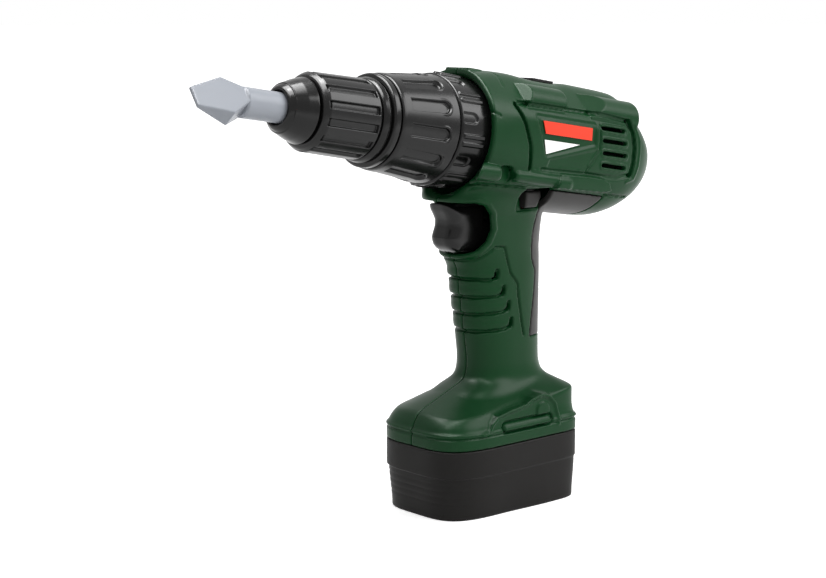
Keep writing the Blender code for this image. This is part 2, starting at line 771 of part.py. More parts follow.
def motor_cradle():
    # A rib across the barrel with a round seat for the motor's back end, open below it.
    span = BODY_HALF_WIDTH
    place = motor_back - CRADLE_BACK
    low = place - OVERCUT
    high = place + CRADLE_THICKNESS + OVERCUT
    outline = rounded_box(-span, span, -BODY_BOTTOM, BODY_TOP, EDGE_ROUND, 1)
    rib = prism(outline, place, place + CRADLE_THICKNESS, "X")
    cradle = helper("motor_cradle", rib, barrel)
    seat = rod(low, high, MOTOR_RADIUS + GAP, CORE_SIDES)
    boolean(cradle, helper("motor_seat", seat, barrel), "DIFFERENCE")
    foot = -MOTOR_RADIUS - CRADLE_LEG
    below = rounded_box(-span - OVERCUT, span + OVERCUT, -BODY_BOTTOM - OVERCUT, foot, EDGE_ROUND, 1)
    boolean(cradle, helper("cradle_open", prism(below, low, high, "X"), barrel), "DIFFERENCE")
    return cradle


def body_openings():
    # Everything cut right through the body's skin.
    span = BODY_HALF_WIDTH + OVERCUT
    ahead = -PIPE_AHEAD - OVERCUT
    beside_ridges = COVER_RADIUS + COVER_RIDGE_HEIGHT + GAP
    profile = [
        (ahead, 0.0),
        (ahead, beside_ridges),
        (-GAP, beside_ridges),
        (-GAP, mouth_radius + GAP),
        (WALL, mouth_bore),
        (COVER_DEPTH, mouth_bore),
        (COVER_DEPTH, 0.0),
    ]
    cuts = [helper("front_bore", turned(profile, ROUND_SIDES), barrel)]
    cuts.append(helper("trigger_cut", prism(trigger_opening(), -span, span)))
    cuts.append(helper("button_cut", prism(grown(button_outline(), RUNNING_GAP), -span, span)))
    pocket = button_outline(POCKET_MARGIN, POCKET_AHEAD)
    cuts.append(helper("pocket_left", prism(pocket, -span, -POCKET_FLOOR)))
    cuts.append(helper("pocket_right", prism(pocket, POCKET_FLOOR, span)))
    floor = BODY_HALF_WIDTH - LABEL_DEPTH
    recess = grown(label_outline(), 2 * GAP)
    cuts.append(helper("label_seat_left", prism(recess, -span, -floor), barrel))
    cuts.append(helper("label_seat_right", prism(recess, floor, span), barrel))
    half = PIPE_RADIUS + FINE_ROUND
    edges = (PIPE_BREAK - SCOOP_LENGTH, PIPE_BREAK + EDGE_ROUND, -PIPE_DROP - half, half - PIPE_DROP)
    scoop = rounded_box(*edges, PIPE_RADIUS, 3)
    floor = BODY_HALF_WIDTH - SCOOP_FLOOR
    cuts.append(helper("scoop_left", prism(scoop, -span, -floor), barrel))
    cuts.append(helper("scoop_right", prism(scoop, floor, span), barrel))
    for number in range(VENT_COUNT):
        low = VENT_TOP - number * VENT_PITCH - VENT_HEIGHT / 2
        start = VENT_START + number * VENT_LEAN
        slot = rounded_box(start, start + VENT_LENGTH, low, low + VENT_HEIGHT, EDGE_ROUND, 2)
        cuts.append(helper(f"vent_{number}", prism(slot, -span, span), barrel))
    half = SLIDER_WIDTH / 2 + RUNNING_GAP
    end = SLIDER_START + SLIDER_LENGTH + SLIDER_TRAVEL + GAP
    track = rounded_box(SLIDER_START - GAP, end, -half, half, SLIDER_CORNER, 2)
    cuts.append(helper("slider_track", prism(track, slider_floor, BODY_TOP + 4 * OVERCUT, "Z"), barrel))
    half = SLIDER_STEM / 2 + RUNNING_GAP
    start = SLIDER_START + (SLIDER_LENGTH - SLIDER_STEM) / 2 - RUNNING_GAP
    end = start + SLIDER_STEM + SLIDER_TRAVEL + 2 * RUNNING_GAP
    stem = rounded_box(start, end, -half, half, EDGE_ROUND, 1)
    cuts.append(helper("slider_slot", prism(stem, BODY_TOP - 2 * WALL, BODY_TOP, "Z"), barrel))
    for number, (x, z) in enumerate(screw_places):
        hole = prism(circle(x, z, SCREW_RADIUS + GAP), -SCREW_REACH - GAP, span)
        cuts.append(helper(f"screw_hole_{number}", hole))
        recess = prism(circle(x, z, SCREW_HEAD_RADIUS + GAP), SCREW_SEAT, span)
        cuts.append(helper(f"screw_recess_{number}", recess))
    return cuts


def ribbon(line, width):
    # The outline of a band of even width along a line of points.
    points = [Vector(point) for point in line]
    edges = [[], []]
    for number, here in enumerate(points):
        before = points[max(number - 1, 0)]
        after = points[min(number + 1, len(points) - 1)]
        along = (after - before).normalized()
        across = Vector((-along.y, along.x)) * width / 2
        edges[0].append(tuple(here + across))
        edges[1].append(tuple(here - across))
    return edges[0] + edges[1][::-1]


def skin_grooves():
    # Bands that cut only the outer part of the skin.
    span = BODY_HALF_WIDTH + OVERCUT
    core = helper("groove_floor", lofted(barrel_sections(GROOVE_DEPTH, BODY_SIDES), "X"), barrel)
    grip = helper("groove_floor_grip", lofted(grip_sections(GROOVE_DEPTH, BODY_SIDES), "Z"))
    boolean(core, grip, "UNION")
    low_front = PANEL_FRONT + PANEL_CORNER
    bend = PANEL_TOP - PANEL_CORNER
    upright = [
        (PANEL_FRONT, PANEL_TOP),
        (between(0.6, PANEL_FRONT, low_front), bend),
        (between(1.2, PANEL_FRONT, low_front), 0.0),
        (between(1.4, PANEL_FRONT, low_front), PANEL_BOTTOM),
    ]
    around = [
        (PANEL_FRONT + GROOVE_WIDTH * 2, PANEL_TOP),
        (PANEL_BACK - PANEL_CORNER, PANEL_TOP),
        (PANEL_BACK - PANEL_CORNER / 3, bend + PANEL_CORNER / 2),
        (PANEL_BACK, 0.0),
        (PANEL_BACK, PANEL_BOTTOM),
    ]
    grooves = []
    for name, line in (("panel_upright", upright), ("panel_round", around)):
        grooves.append(helper(name, prism(ribbon(line, GROOVE_WIDTH), -span, span), barrel))
    for number in range(FINGER_GROOVES):
        height = palm_z - FINGER_DROP - number * FINGER_PITCH
        end = neck_front + FINGER_REACH + number * FINGER_STEP
        line = [(trigger_front, height), (end - 2 * FINGER_HOOK, height), (end, height + FINGER_HOOK)]
        grooves.append(helper(f"finger_groove_{number}", prism(ribbon(line, GROOVE_WIDTH), -span, span)))
    for groove in grooves:
        boolean(groove, core, "DIFFERENCE")
    return grooves


def moulded_bars():
    # The shoulder rails and the low pipes, as solids that run into the body.
    bars = []
    for side in (-1.0, 1.0):
        for start, end, radius, inset in zip(RAIL_STARTS, RAIL_ENDS, RAIL_RADII, RAIL_INSETS):
            y = side * (BODY_HALF_WIDTH - radius - inset)
            z = BODY_TOP - radius - inset + RAIL_LIFT
            bars.append(rail(start, end, radius, y, z, side))
        thick = BODY_HALF_WIDTH + PIPE_PROUD - PIPE_RADIUS
        thin = BODY_HALF_WIDTH - PIPE_THIN_SINK - PIPE_THIN_RADIUS
        front = [
            (-PIPE_AHEAD, 0.0),
            (-PIPE_AHEAD, 0.5 * PIPE_RADIUS),
            (-PIPE_AHEAD + 0.3 * PIPE_RADIUS, 0.85 * PIPE_RADIUS),
            (-PIPE_AHEAD + PIPE_RADIUS, PIPE_RADIUS),
            (PIPE_BREAK, PIPE_RADIUS),
            (PIPE_BREAK, 0.0),
        ]
        back_start = PIPE_BREAK - OVERCUT
        back = [
            (back_start, 0.0),
            (back_start, PIPE_THIN_RADIUS),
            (PIPE_END - PIPE_THIN_RADIUS, PIPE_THIN_RADIUS),
            (PIPE_END, 0.0),
        ]
        for profile, y in ((front, thick), (back, thin)):
            bm = turned(profile, BAR_SIDES)
            bm.transform(Matrix.Translation((0.0, side * y, -PIPE_DROP)))
            bars.append(bm)
    return bars


def rail(start, end, radius, y, z, side):
    # A round bar whose front is cut slantwise where it leaves the skin, and rounded at its back.
    outward = Vector((side, 1.0)).normalized()
    bm = bmesh.new()
    rings = []
    for place, reach, slant in ((start, 1.0, RAIL_SLANT), (end - radius / 3, 1.0, 0.0), (end, 0.7, 0.0)):
        ring = []
        for a, b in circle(0.0, 0.0, reach * radius, 2 * HOLE_SIDES):
            proud = outward.dot(Vector((a, b))) - (radius - RAIL_PROUD)
            ring.append(bm.verts.new((place + slant * max(0.0, proud), y + a, z + b)))
        rings.append(ring)
    close_rings(bm, rings)
    bmesh.ops.triangulate(bm, faces=bm.faces)
    return bm


def settled(piece):
    # A plain mesh of the piece as its modifiers leave it, in world space.
    bpy.context.view_layer.update()
    graph = bpy.context.evaluated_depsgraph_get()
    bm = bmesh.new()
    bm.from_mesh(piece.evaluated_get(graph).to_mesh())
    bm.transform(piece.matrix_world)
    return bm


def make_body():
    # Two green halves that meet on the middle plane, and the soft back set into both.
    span = BASE_LENGTH + BODY_LENGTH
    skin = helper("body_skin", lofted(barrel_sections(0.0, BODY_SIDES), "X"), barrel)
    boolean(skin, helper("grip_skin", lofted(grip_sections(0.0, BODY_SIDES), "Z")), "UNION")
    for number, bar in enumerate(moulded_bars()):
        boolean(skin, helper(f"moulded_bar_{number}", bar, barrel), "UNION")
    soft = placed("soft_back", settled(skin), CHARCOAL_RUBBER)
    boolean(soft, plain_space("inside_soft_back"), "DIFFERENCE")
    outline = soft_back_outline()
    boolean(soft, helper("soft_region", prism(outline, -span, span)), "INTERSECT")
    space = make_hollow()
    cuts = body_openings() + skin_grooves()
    cuts.append(helper("soft_seat", prism(grown(outline, GAP), -span, span)))
    all_round = [(-span, -span), (span, -span), (span, 2 * span), (-span, 2 * span)]
    for name, low, high in (("left_housing", -span, -GAP / 2), ("right_housing", GAP / 2, span)):
        half = placed(name, settled(skin), GREEN_PLASTIC)
        boolean(half, helper(name + "_side", prism(all_round, low, high)), "INTERSECT")
        boolean(half, space, "DIFFERENCE")
        for cut in cuts:
            boolean(half, cut, "DIFFERENCE")


def make_label():
    # The bare sticker on the left side panel.
    back = LABEL_DEPTH - BODY_HALF_WIDTH - GAP
    placed("side_label", prism(label_outline(), back - LABEL_THICKNESS, back), RED_PRINT, barrel)


def ribbed_ring(place, radius, depth, count, rib_width):
    # One ring of a ribbed sleeve: four points to each rib and the groove beside it.
    step = math.tau / count
    rib = rib_width / radius
    slope = 0.06 * step
    outline = []
    for k in range(count):
        start = step * k
        corners = (
            (start, radius),
            (start + rib, radius),
            (start + rib + slope, radius - depth),
            (start + step - slope, radius - depth),
        )
        for turn, reach in corners:
            outline.append((reach * math.cos(turn), reach * math.sin(turn)))
    return place, outline


def make_nose():
    bore = SHANK_RADIUS + RUNNING_GAP
    spread = NOSE_RADIUS - NOSE_TIP_RADIUS
    nose = [
        (nose_front, bore),
        (nose_front, NOSE_TIP_RADIUS - NOSE_ROUND),
        (nose_front + 0.3 * NOSE_ROUND, NOSE_TIP_RADIUS - 0.3 * NOSE_ROUND),
        (nose_front + NOSE_ROUND, NOSE_TIP_RADIUS),
        (nose_front + 0.45 * NOSE_LENGTH, NOSE_TIP_RADIUS + 0.55 * spread),
        (nose_back - EDGE_ROUND, NOSE_RADIUS - 0.2 * EDGE_ROUND),
        (nose_back, NOSE_RADIUS),
        (nose_back, bore),
    ]
    placed("chuck_nose", turned(nose, ROUND_SIDES), BLACK_PLASTIC, barrel)


def make_sleeve():
    plain = (0.0, SLEEVE_RIBS, SLEEVE_RIB_WIDTH)
    ribs = (SLEEVE_RIB_DEPTH, SLEEVE_RIBS, SLEEVE_RIB_WIDTH)
    rings = [
        ribbed_ring(sleeve_front, NOSE_RADIUS + GAP, *plain),
        ribbed_ring(sleeve_front + SLEEVE_SHOULDER, SLEEVE_FRONT_RADIUS, *ribs),
        ribbed_ring(sleeve_back - EDGE_ROUND, SLEEVE_BACK_RADIUS, *ribs),
        ribbed_ring(sleeve_back, SLEEVE_BACK_RADIUS - SLEEVE_RIB_DEPTH, *plain),
    ]
    sleeve = placed("chuck_sleeve", lofted(rings, "X"), BLACK_PLASTIC, barrel)
    step = [
        (sleeve_front - OVERCUT, 0.0),
        (sleeve_front - OVERCUT, HEAD_RADIUS + GAP),
        (head_back + GAP, HEAD_RADIUS + GAP),
        (head_back + GAP, SPINDLE_RADIUS + GAP),
        (sleeve_back + OVERCUT, SPINDLE_RADIUS + GAP),
        (sleeve_back + OVERCUT, 0.0),
    ]
    boolean(sleeve, helper("sleeve_bore", turned(step, CORE_SIDES), barrel), "DIFFERENCE")


def make_collar():
    middle = (collar_front + collar_back) / 2
    half_groove = COLLAR_GROOVE / 2
    crest = COLLAR_RADIUS - COLLAR_GROOVE
    collar = [
        (collar_front, SPINDLE_RADIUS + GAP),
        (collar_front, COLLAR_FRONT_RADIUS),
        (middle - half_groove, crest),
        (middle - half_groove, crest - COLLAR_GROOVE),
        (middle + half_groove, crest - COLLAR_GROOVE),
        (middle + half_groove, COLLAR_RADIUS),
        (collar_back, COLLAR_RADIUS),
        (collar_back, SPINDLE_RADIUS + GAP),
    ]
    placed("chuck_collar", turned(collar, ROUND_SIDES), BLACK_PLASTIC, barrel)


def make_spindle():
    gear_end = output_high + GAP
    profile = [
        (head_front, 0.0),
        (head_front, HEAD_RADIUS),
        (head_back, HEAD_RADIUS),
        (head_back, SPINDLE_RADIUS),
        (output_low - GAP, SPINDLE_RADIUS),
        (output_low - GAP, gear_seat),
        (gear_end, gear_seat),
        (gear_end, 0.0),
    ]
    spindle = placed("spindle", turned(profile, CORE_SIDES), GEAR_PLASTIC, barrel)
    half = DRIVE_SIDE / 2 + RUNNING_GAP
    end = head_front + DRIVE_LENGTH + SOCKET_SPARE
    square = [(-half, -half), (half, -half), (half, half), (-half, half)]
    socket = prism(square, head_front - OVERCUT, end, "X")
    socket.transform(Matrix.Rotation(BLADE_TURN, 4, "X"))
    boolean(spindle, helper("drive_socket", socket, barrel), "DIFFERENCE")
    wheel = prism(gear_outline(output_teeth, -math.pi / 2), output_low, output_high, "X")
    gear = placed("output_gear", wheel, GEAR_PLASTIC, barrel)
    bore = rod(output_low - OVERCUT, output_high + OVERCUT, gear_seat + GAP, CORE_SIDES)
    boolean(gear, helper("output_bore", bore, barrel), "DIFFERENCE")


def make_bit():
    # A flat screwdriver blade on a round shank with a square drive end.
    shank_end = head_front - GAP
    blade_end = shank_end - SHANK_LENGTH
    tip = blade_end - BLADE_LENGTH
    waist = tip + 0.63 * BLADE_LENGTH
    root = blade_end + BLADE_LAP
    upper = [(tip, BLADE_TIP_WIDTH / 2), (waist, BLADE_WIDTH / 2), (root, BLADE_ROOT_WIDTH / 2)]
    flat = upper + [(x, -z) for x, z in reversed(upper)]
    bm = bmesh.new()
    rings = []
    for side, inset in ((-1.0, BLADE_BEVEL), (-1.0, 0.0), (1.0, 0.0), (1.0, BLADE_BEVEL)):
        ring = []
        for x, z in grown(flat, -inset):
            share = (x - tip) / (root - tip)
            thick = between(share, BLADE_TIP_THICKNESS, BLADE_ROOT_THICKNESS) / 2
            ring.append(bm.verts.new((x, side * (thick - BLADE_BEVEL + inset), z)))
        rings.append(ring)
    close_rings(bm, rings)
    bm.transform(Matrix.Rotation(BLADE_TURN, 4, "X"))
    bit = placed("flat_bit", bm, SILVER_PLASTIC, barrel)
    shank = [
        (blade_end - SHANK_CHAMFER, 0.0),
        (blade_end - SHANK_CHAMFER, SHANK_RADIUS - SHANK_CHAMFER),
        (blade_end, SHANK_RADIUS),
        (shank_end, SHANK_RADIUS),
        (shank_end, 0.0),
    ]
    boolean(bit, helper("bit_shank", turned(shank, CORE_SIDES), barrel), "UNION")
    side = DRIVE_SIDE / 2
    square = rounded_box(-side, side, -side, side, FINE_ROUND, 1)
    drive = prism(square, shank_end - OVERCUT, shank_end + DRIVE_LENGTH, "X")
    drive.transform(Matrix.Rotation(BLADE_TURN, 4, "X"))
    boolean(bit, helper("bit_drive", drive, barrel), "UNION")


def make_torque_ring():
    plain = (0.0, RING_SLOTS, math.tau * RING_FRONT_RADIUS / RING_SLOTS - RING_SLOT_WIDTH)
    slots = (RING_SLOT_DEPTH, *plain[1:])
    slot_start = (ring_front + ring_back - RING_SLOT_LENGTH) / 2
    slot_end = slot_start + RING_SLOT_LENGTH

    def station(place, form):
        share = (place - ring_front) / RING_LENGTH
        return ribbed_ring(place, RING_FRONT_RADIUS + share * (RING_BACK_RADIUS - RING_FRONT_RADIUS), *form)

    rings = [
        ribbed_ring(ring_front, RING_FRONT_RADIUS - RING_CHAMFER / 2, *plain),
        station(ring_front + RING_CHAMFER, plain),
        station(slot_start, plain),
        station(slot_start + FINE_ROUND, slots),
        station(slot_end - FINE_ROUND, slots),
        station(slot_end, plain),
        station(ring_back, plain),
    ]
    ring = placed("torque_ring", lofted(rings, "X"), BLACK_PLASTIC, barrel)
    bore = rod(ring_front - OVERCUT, ring_back + OVERCUT, RING_BORE, ROUND_SIDES)
    boolean(ring, helper("ring_bore", bore, barrel), "DIFFERENCE")


def make_gearbox_cover():
    # The fixed rear ring, with a neck that carries the torque ring and two webs for the spindle's bushes.
    bush_seat = bush_outer + GAP
    neck = RING_BORE - RUNNING_GAP
    inside_web = web_front + WEB_THICKNESS
    crest = COVER_RADIUS + COVER_RIDGE_HEIGHT
    plain = (0.0, COVER_RIDGES, COVER_RIDGE_WIDTH)
    ridges = (COVER_RIDGE_HEIGHT, COVER_RIDGES, COVER_RIDGE_WIDTH)
    rings = [
        ribbed_ring(web_front, neck, *plain),
        ribbed_ring(cover_front, neck, *plain),
        ribbed_ring(cover_front, COVER_RADIUS, *plain),
        ribbed_ring(cover_front + EDGE_ROUND, crest, *ridges),
        ribbed_ring(-COVER_RIDGE_END - FINE_ROUND, crest, *ridges),
        ribbed_ring(-COVER_RIDGE_END, COVER_RADIUS, *plain),
        ribbed_ring(COVER_DEPTH, COVER_RADIUS, *plain),
    ]
    cover = placed("gearbox_cover", lofted(rings, "X"), BLACK_PLASTIC, barrel)
    inside = [
        (web_front - OVERCUT, 0.0),
        (web_front - OVERCUT, bush_seat),
        (inside_web, bush_seat),
        (inside_web, neck - COVER_WALL),
        (cover_front, neck - COVER_WALL),
        (cover_front, bush_seat),
        (web_back, bush_seat),
        (web_back, cover_bore),
        (COVER_DEPTH + OVERCUT, cover_bore),
        (COVER_DEPTH + OVERCUT, 0.0),
    ]
    boolean(cover, helper("cover_inside", turned(inside, CORE_SIDES), barrel), "DIFFERENCE")
    seat = rod(axle_start - GAP, web_back + OVERCUT, AXLE_RADIUS + GAP)
    boolean(cover, helper("axle_seat", seat, idler_axis), "DIFFERENCE")
    inner = SPINDLE_RADIUS + RUNNING_GAP
    for name, low, high in (("front_bush", web_front, inside_web), ("back_bush", cover_front, web_back)):
        profile = [(low, inner), (low, bush_outer), (high, bush_outer), (high, inner)]
        placed(name, turned(profile, CORE_SIDES), GEAR_PLASTIC, barrel)


def make_gear_train():
    low = plate_low - OVERCUT
    high = COVER_DEPTH + OVERCUT
    hole = MOTOR_BOSS_RADIUS + GAP
    rim = cover_bore - GAP
    disc = [(plate_low, hole), (plate_low, rim), (COVER_DEPTH, rim), (COVER_DEPTH, hole)]
    plate = placed("gearbox_plate", turned(disc, CORE_SIDES), BLACK_PLASTIC, barrel)
    boolean(plate, helper("plate_axle", rod(low, high, AXLE_RADIUS + GAP), idler_axis), "DIFFERENCE")
    placed("idler_axle", rod(axle_start, COVER_DEPTH, AXLE_RADIUS), STEEL, idler_axis)

    wheel = prism(gear_outline(WHEEL_TEETH, math.pi / 2), wheel_low, wheel_high, "X")
    idler = placed("idler_gear", wheel, GEAR_PLASTIC, idler_axis)
    tooth_up = math.pi / 2 + math.pi / IDLER_TEETH
    small = prism(gear_outline(IDLER_TEETH, tooth_up), output_low, wheel_low + OVERCUT, "X")
    boolean(idler, helper("idler_small", small, idler_axis), "UNION")
    bore = rod(output_low - OVERCUT, wheel_high + OVERCUT, AXLE_RADIUS + RUNNING_GAP)
    boolean(idler, helper("idler_bore", bore, idler_axis), "DIFFERENCE")

    tooth_down = -math.pi / 2 + math.pi / PINION_TEETH
    teeth = prism(gear_outline(PINION_TEETH, tooth_down), wheel_low, wheel_high, "X")
    pinion = placed("motor_pinion", teeth, GEAR_PLASTIC, barrel)
    shaft = rod(wheel_low + OVERCUT, motor_front + SHAFT_DEPTH, SHAFT_RADIUS)
    boolean(pinion, helper("motor_shaft", shaft, barrel), "UNION")


def make_motor():
    boss_front = motor_front - MOTOR_BOSS_LENGTH
    bore = SHAFT_RADIUS + RUNNING_GAP
    bore_end = motor_front + SHAFT_DEPTH + GAP
    can = [
        (boss_front, bore),
        (boss_front, MOTOR_BOSS_RADIUS),
        (motor_front, MOTOR_BOSS_RADIUS),
        (motor_front, MOTOR_RADIUS - MOTOR_CRIMP),
        (motor_front + MOTOR_CRIMP, MOTOR_RADIUS),
        (motor_back - MOTOR_CRIMP, MOTOR_RADIUS),
        (motor_back, MOTOR_RADIUS - MOTOR_CRIMP),
        (motor_back, 0.0),
        (bore_end, 0.0),
        (bore_end, bore),
    ]
    placed("motor", turned(can, CORE_SIDES), MOTOR_CAN, barrel)


def soften(piece, width, angle):
    rounding = piece.modifiers.new("soften", "BEVEL")
    rounding.width = width
    rounding.segments = 2
    rounding.limit_method = "ANGLE"
    rounding.angle_limit = math.radians(angle)


def make_trigger():
    top = roof_low - RUNNING_GAP
    bottom = shelf_top + RUNNING_GAP
    tail_top = trigger_top_z - TRIGGER_TAIL_DROP
    # Down its front: a lip, the finger's hollow, a swelling and a lower end that turns back under.
    hollows = ((0.0, 0.0), (0.13, 0.25), (0.28, 0.85), (0.42, 1.0), (0.56, 0.85))
    hollows += ((0.68, 0.45), (0.82, 0.6), (0.93, 1.2), (1.0, 2.3))
    outline = []
    for share, hollow in hollows:
        outline.append((trigger_front + hollow * TRIGGER_HOLLOW, between(share, top, bottom)))
    outline.append((trigger_tail, bottom))
    outline.append((trigger_tail, tail_top))
    outline.append((trigger_shoulder, tail_top))
    outline.append((trigger_shoulder, top))
    half = TRIGGER_WIDTH / 2
    trigger = placed("trigger", prism(outline, -half, half), BLACK_PLASTIC)
    soften(trigger, TRIGGER_SOFT_EDGE, 50)

    half = SWITCH_WIDTH / 2
    box = rounded_box(switch_front, switch_back, switch_low, switch_low + SWITCH_HEIGHT, EDGE_ROUND, 1)
    placed("switch_block", prism(box, -half, half), BLACK_PLASTIC)


def tube(name, path, radius, look):
    # A round wire along a path, as one closed body.
    line = bpy.data.curves.new(name, "CURVE")
    line.dimensions = "3D"
    line.bevel_depth = radius
    line.bevel_resolution = 1
    line.use_fill_caps = True
    spline = line.splines.new("POLY")
    spline.points.add(len(path) - 1)
    for point, place in zip(spline.points, path):
        point.co = (*place, 1.0)
    line.materials.append(colour_of(LOOK_NAMES[look], look))
    wire = bpy.data.objects.new(name, line)
    bpy.context.scene.collection.objects.link(wire)


def make_spring():
    # One wound wire between the trigger's tail and the switch.
    start = trigger_tail + GAP
    end = switch_front - GAP
    height = switch_low + SWITCH_HEIGHT / 2
    pitch = (end - start - SPRING_WIRE) / SPRING_COILS
    path = []
    for k in range(SPRING_COILS * SPRING_POINTS + 1):
        turn = math.tau * k / SPRING_POINTS
        along = start + SPRING_WIRE / 2 + pitch * k / SPRING_POINTS
        path.append(Vector((along, SPRING_RADIUS * math.cos(turn), height + SPRING_RADIUS * math.sin(turn))))
    nearest = min((a - b).length for i, a in enumerate(path) for b in path[i + SPRING_POINTS // 2:])
    print(f"trigger spring clears itself by {(nearest - SPRING_WIRE) / MM:.2f} mm")
    tube("trigger_spring", path, SPRING_WIRE / 2, STEEL)


def make_selectors():
    reach = POCKET_FLOOR + BUTTON_TRAVEL + BUTTON_PROUD
    button = placed("direction_selector", prism(button_outline(), -reach, reach), CHARCOAL_RUBBER)
    soften(button, BUTTON_SOFT_EDGE, 60)

    low = slider_floor + GAP
    half = SLIDER_WIDTH / 2
    pad = rounded_box(SLIDER_START, SLIDER_START + SLIDER_LENGTH, -half, half, SLIDER_CORNER, 2)
    slider = placed("speed_selector", prism(pad, low, low + SLIDER_HEIGHT, "Z"), BLACK_PLASTIC, barrel)
    start = SLIDER_START + (SLIDER_LENGTH - SLIDER_STEM) / 2
    half = SLIDER_STEM / 2
    stem = rounded_box(start, start + SLIDER_STEM, -half, half, EDGE_ROUND, 1)
    bar = prism(stem, low - SLIDER_STEM_DEPTH, low + SLIDER_HEIGHT / 2, "Z")
    boolean(slider, helper("slider_stem", bar, barrel), "UNION")


def base_ring(height, inset, sides=BODY_SIDES):
    half_length = BASE_LENGTH / 2 - inset
    half_width = BASE_WIDTH / 2 - inset
    return height, oval(-half_length, half_length, -half_width, half_width, base_powers, sides)


def make_battery_case():
    tongue = WALL + GAP
    foot = CASE_STEP + CASE_TAPER
    rings = [
        base_ring(0.0, foot + CASE_FOOT),
        base_ring(0.4 * CASE_FOOT, foot + 0.4 * CASE_FOOT),
        base_ring(CASE_FOOT, foot),
        base_ring(CASE_STEP_Z, CASE_STEP),
        base_ring(CASE_STEP_Z + CASE_STEP, 0.0),
        base_ring(CASE_HEIGHT, 0.0),
    ]
    case = placed("battery_case", lofted(rings, "Z"), BLACK_PLASTIC)
    top = CASE_HEIGHT + TONGUE_HEIGHT
    rim = [base_ring(CASE_STEP_Z, tongue, SPACE_SIDES), base_ring(top, tongue, SPACE_SIDES)]
    boolean(case, helper("case_tongue", lofted(rim, "Z")), "UNION")
    inset = tongue + CASE_WALL
    floor = bay_top + PARTITION
    room = [base_ring(floor, inset, SPACE_SIDES), base_ring(top + OVERCUT, inset, SPACE_SIDES)]
    boolean(case, helper("case_room", lofted(room, "Z")), "DIFFERENCE")
    bay = rounded_box(-bay_half_length, bay_half_length, -bay_half_width, bay_half_width, FINE_ROUND, 1)
    boolean(case, helper("cell_bay", prism(bay, -OVERCUT, bay_top, "Z")), "DIFFERENCE")
    for name, x, y in lead_places:
        hole = prism(circle(x, y, LEAD_RADIUS + GAP), bay_top - OVERCUT, bay_top + PARTITION + OVERCUT, "Z")
        boolean(case, helper(name + "_hole", hole), "DIFFERENCE")

    half_door = bay_half_width + DOOR_MARGIN
    edges = (-bay_half_length - DOOR_MARGIN, door_back, -half_door, half_door)
    outline = rounded_box(*edges, DOOR_CORNER, 2)
    seat = prism(grown(outline, GAP), -OVERCUT, DOOR_THICKNESS + GAP, "Z")
    boolean(case, helper("door_seat", seat), "DIFFERENCE")
    pilot = circle(door_screw_x, 0.0, SCREW_RADIUS + GAP)
    boolean(case, helper("door_pilot", prism(pilot, 0.0, DOOR_SCREW_REACH + GAP, "Z")), "DIFFERENCE")
    door = placed("battery_door", prism(outline, 0.0, DOOR_THICKNESS, "Z"), BLACK_PLASTIC)
    boolean(door, helper("door_hole", prism(pilot, -OVERCUT, DOOR_THICKNESS + OVERCUT, "Z")), "DIFFERENCE")
    sink = circle(door_screw_x, 0.0, SCREW_HEAD_RADIUS + GAP)
    boolean(door, helper("door_sink", prism(sink, -OVERCUT, DOOR_SCREW_SINK, "Z")), "DIFFERENCE")
    head = circle(door_screw_x, 0.0, SCREW_HEAD_RADIUS)
    screw = placed("door_screw", prism(head, GAP, DOOR_SCREW_SINK - GAP, "Z"), STEEL)
    shank = circle(door_screw_x, 0.0, SCREW_RADIUS)
    bar = prism(shank, DOOR_SCREW_SINK / 2, DOOR_SCREW_REACH, "Z")
    boolean(screw, helper("door_screw_shank", bar), "UNION")


def cell_middle(number):
    return (number - (CELL_COUNT - 1) / 2) * cell_pitch


def make_cells():
    # The cells lie head to tail, so plates at their ends join them in a row.
    end = CELL_LENGTH / 2
    profile = [
        (-end, 0.0),
        (-end, cell_radius - CELL_EDGE),
        (CELL_EDGE - end, cell_radius),
        (end - NUB_LENGTH, cell_radius),
        (end - NUB_LENGTH, NUB_RADIUS),
        (end, NUB_RADIUS),
        (end, 0.0),
    ]
    for number in range(CELL_COUNT):
        bm = turned(profile, CORE_SIDES)
        if number % 2:
            bm.transform(Matrix.Scale(-1.0, 4, (1.0, 0.0, 0.0)))
        cell = placed(f"cell_{number + 1}", bm, CELL_WRAP)
        cell.location = (0.0, cell_middle(number), cell_z)
    plates = (
        ("front_bridge", -1.0, 0, 1),
        ("front_terminal", -1.0, 2, 2),
        ("back_terminal", 1.0, 0, 0),
        ("back_bridge", 1.0, 1, 2),
    )
    margin = cell_radius - EDGE_ROUND
    for name, side, first, last in plates:
        near = side * (CELL_LENGTH / 2 + GAP)
        far = near + side * CONTACT_THICKNESS
        edges = (cell_middle(first) - margin, cell_middle(last) + margin)
        plate = rounded_box(*edges, DOOR_THICKNESS + 2 * GAP, bay_top - GAP, EDGE_ROUND, 1)
        placed(name, prism(plate, min(near, far), max(near, far), "X"), STEEL)


def smooth_path(route):
    # Points at even steps on a smooth curve through the route's own points.
    ends = [2 * route[0] - route[1]] + route + [2 * route[-1] - route[-2]]
    path = []
    for before, start, end, after in zip(ends, ends[1:], ends[2:], ends[3:]):
        steps = max(1, round((end - start).length / LEAD_STEP))
        for k in range(steps):
            t = k / steps
            bend = 2 * before - 5 * start + 4 * end - after
            twist = 3 * start - before - 3 * end + after
            path.append(start + 0.5 * (t * (end - before) + t * t * bend + t * t * t * twist))
    path.append(route[-1])
    return path


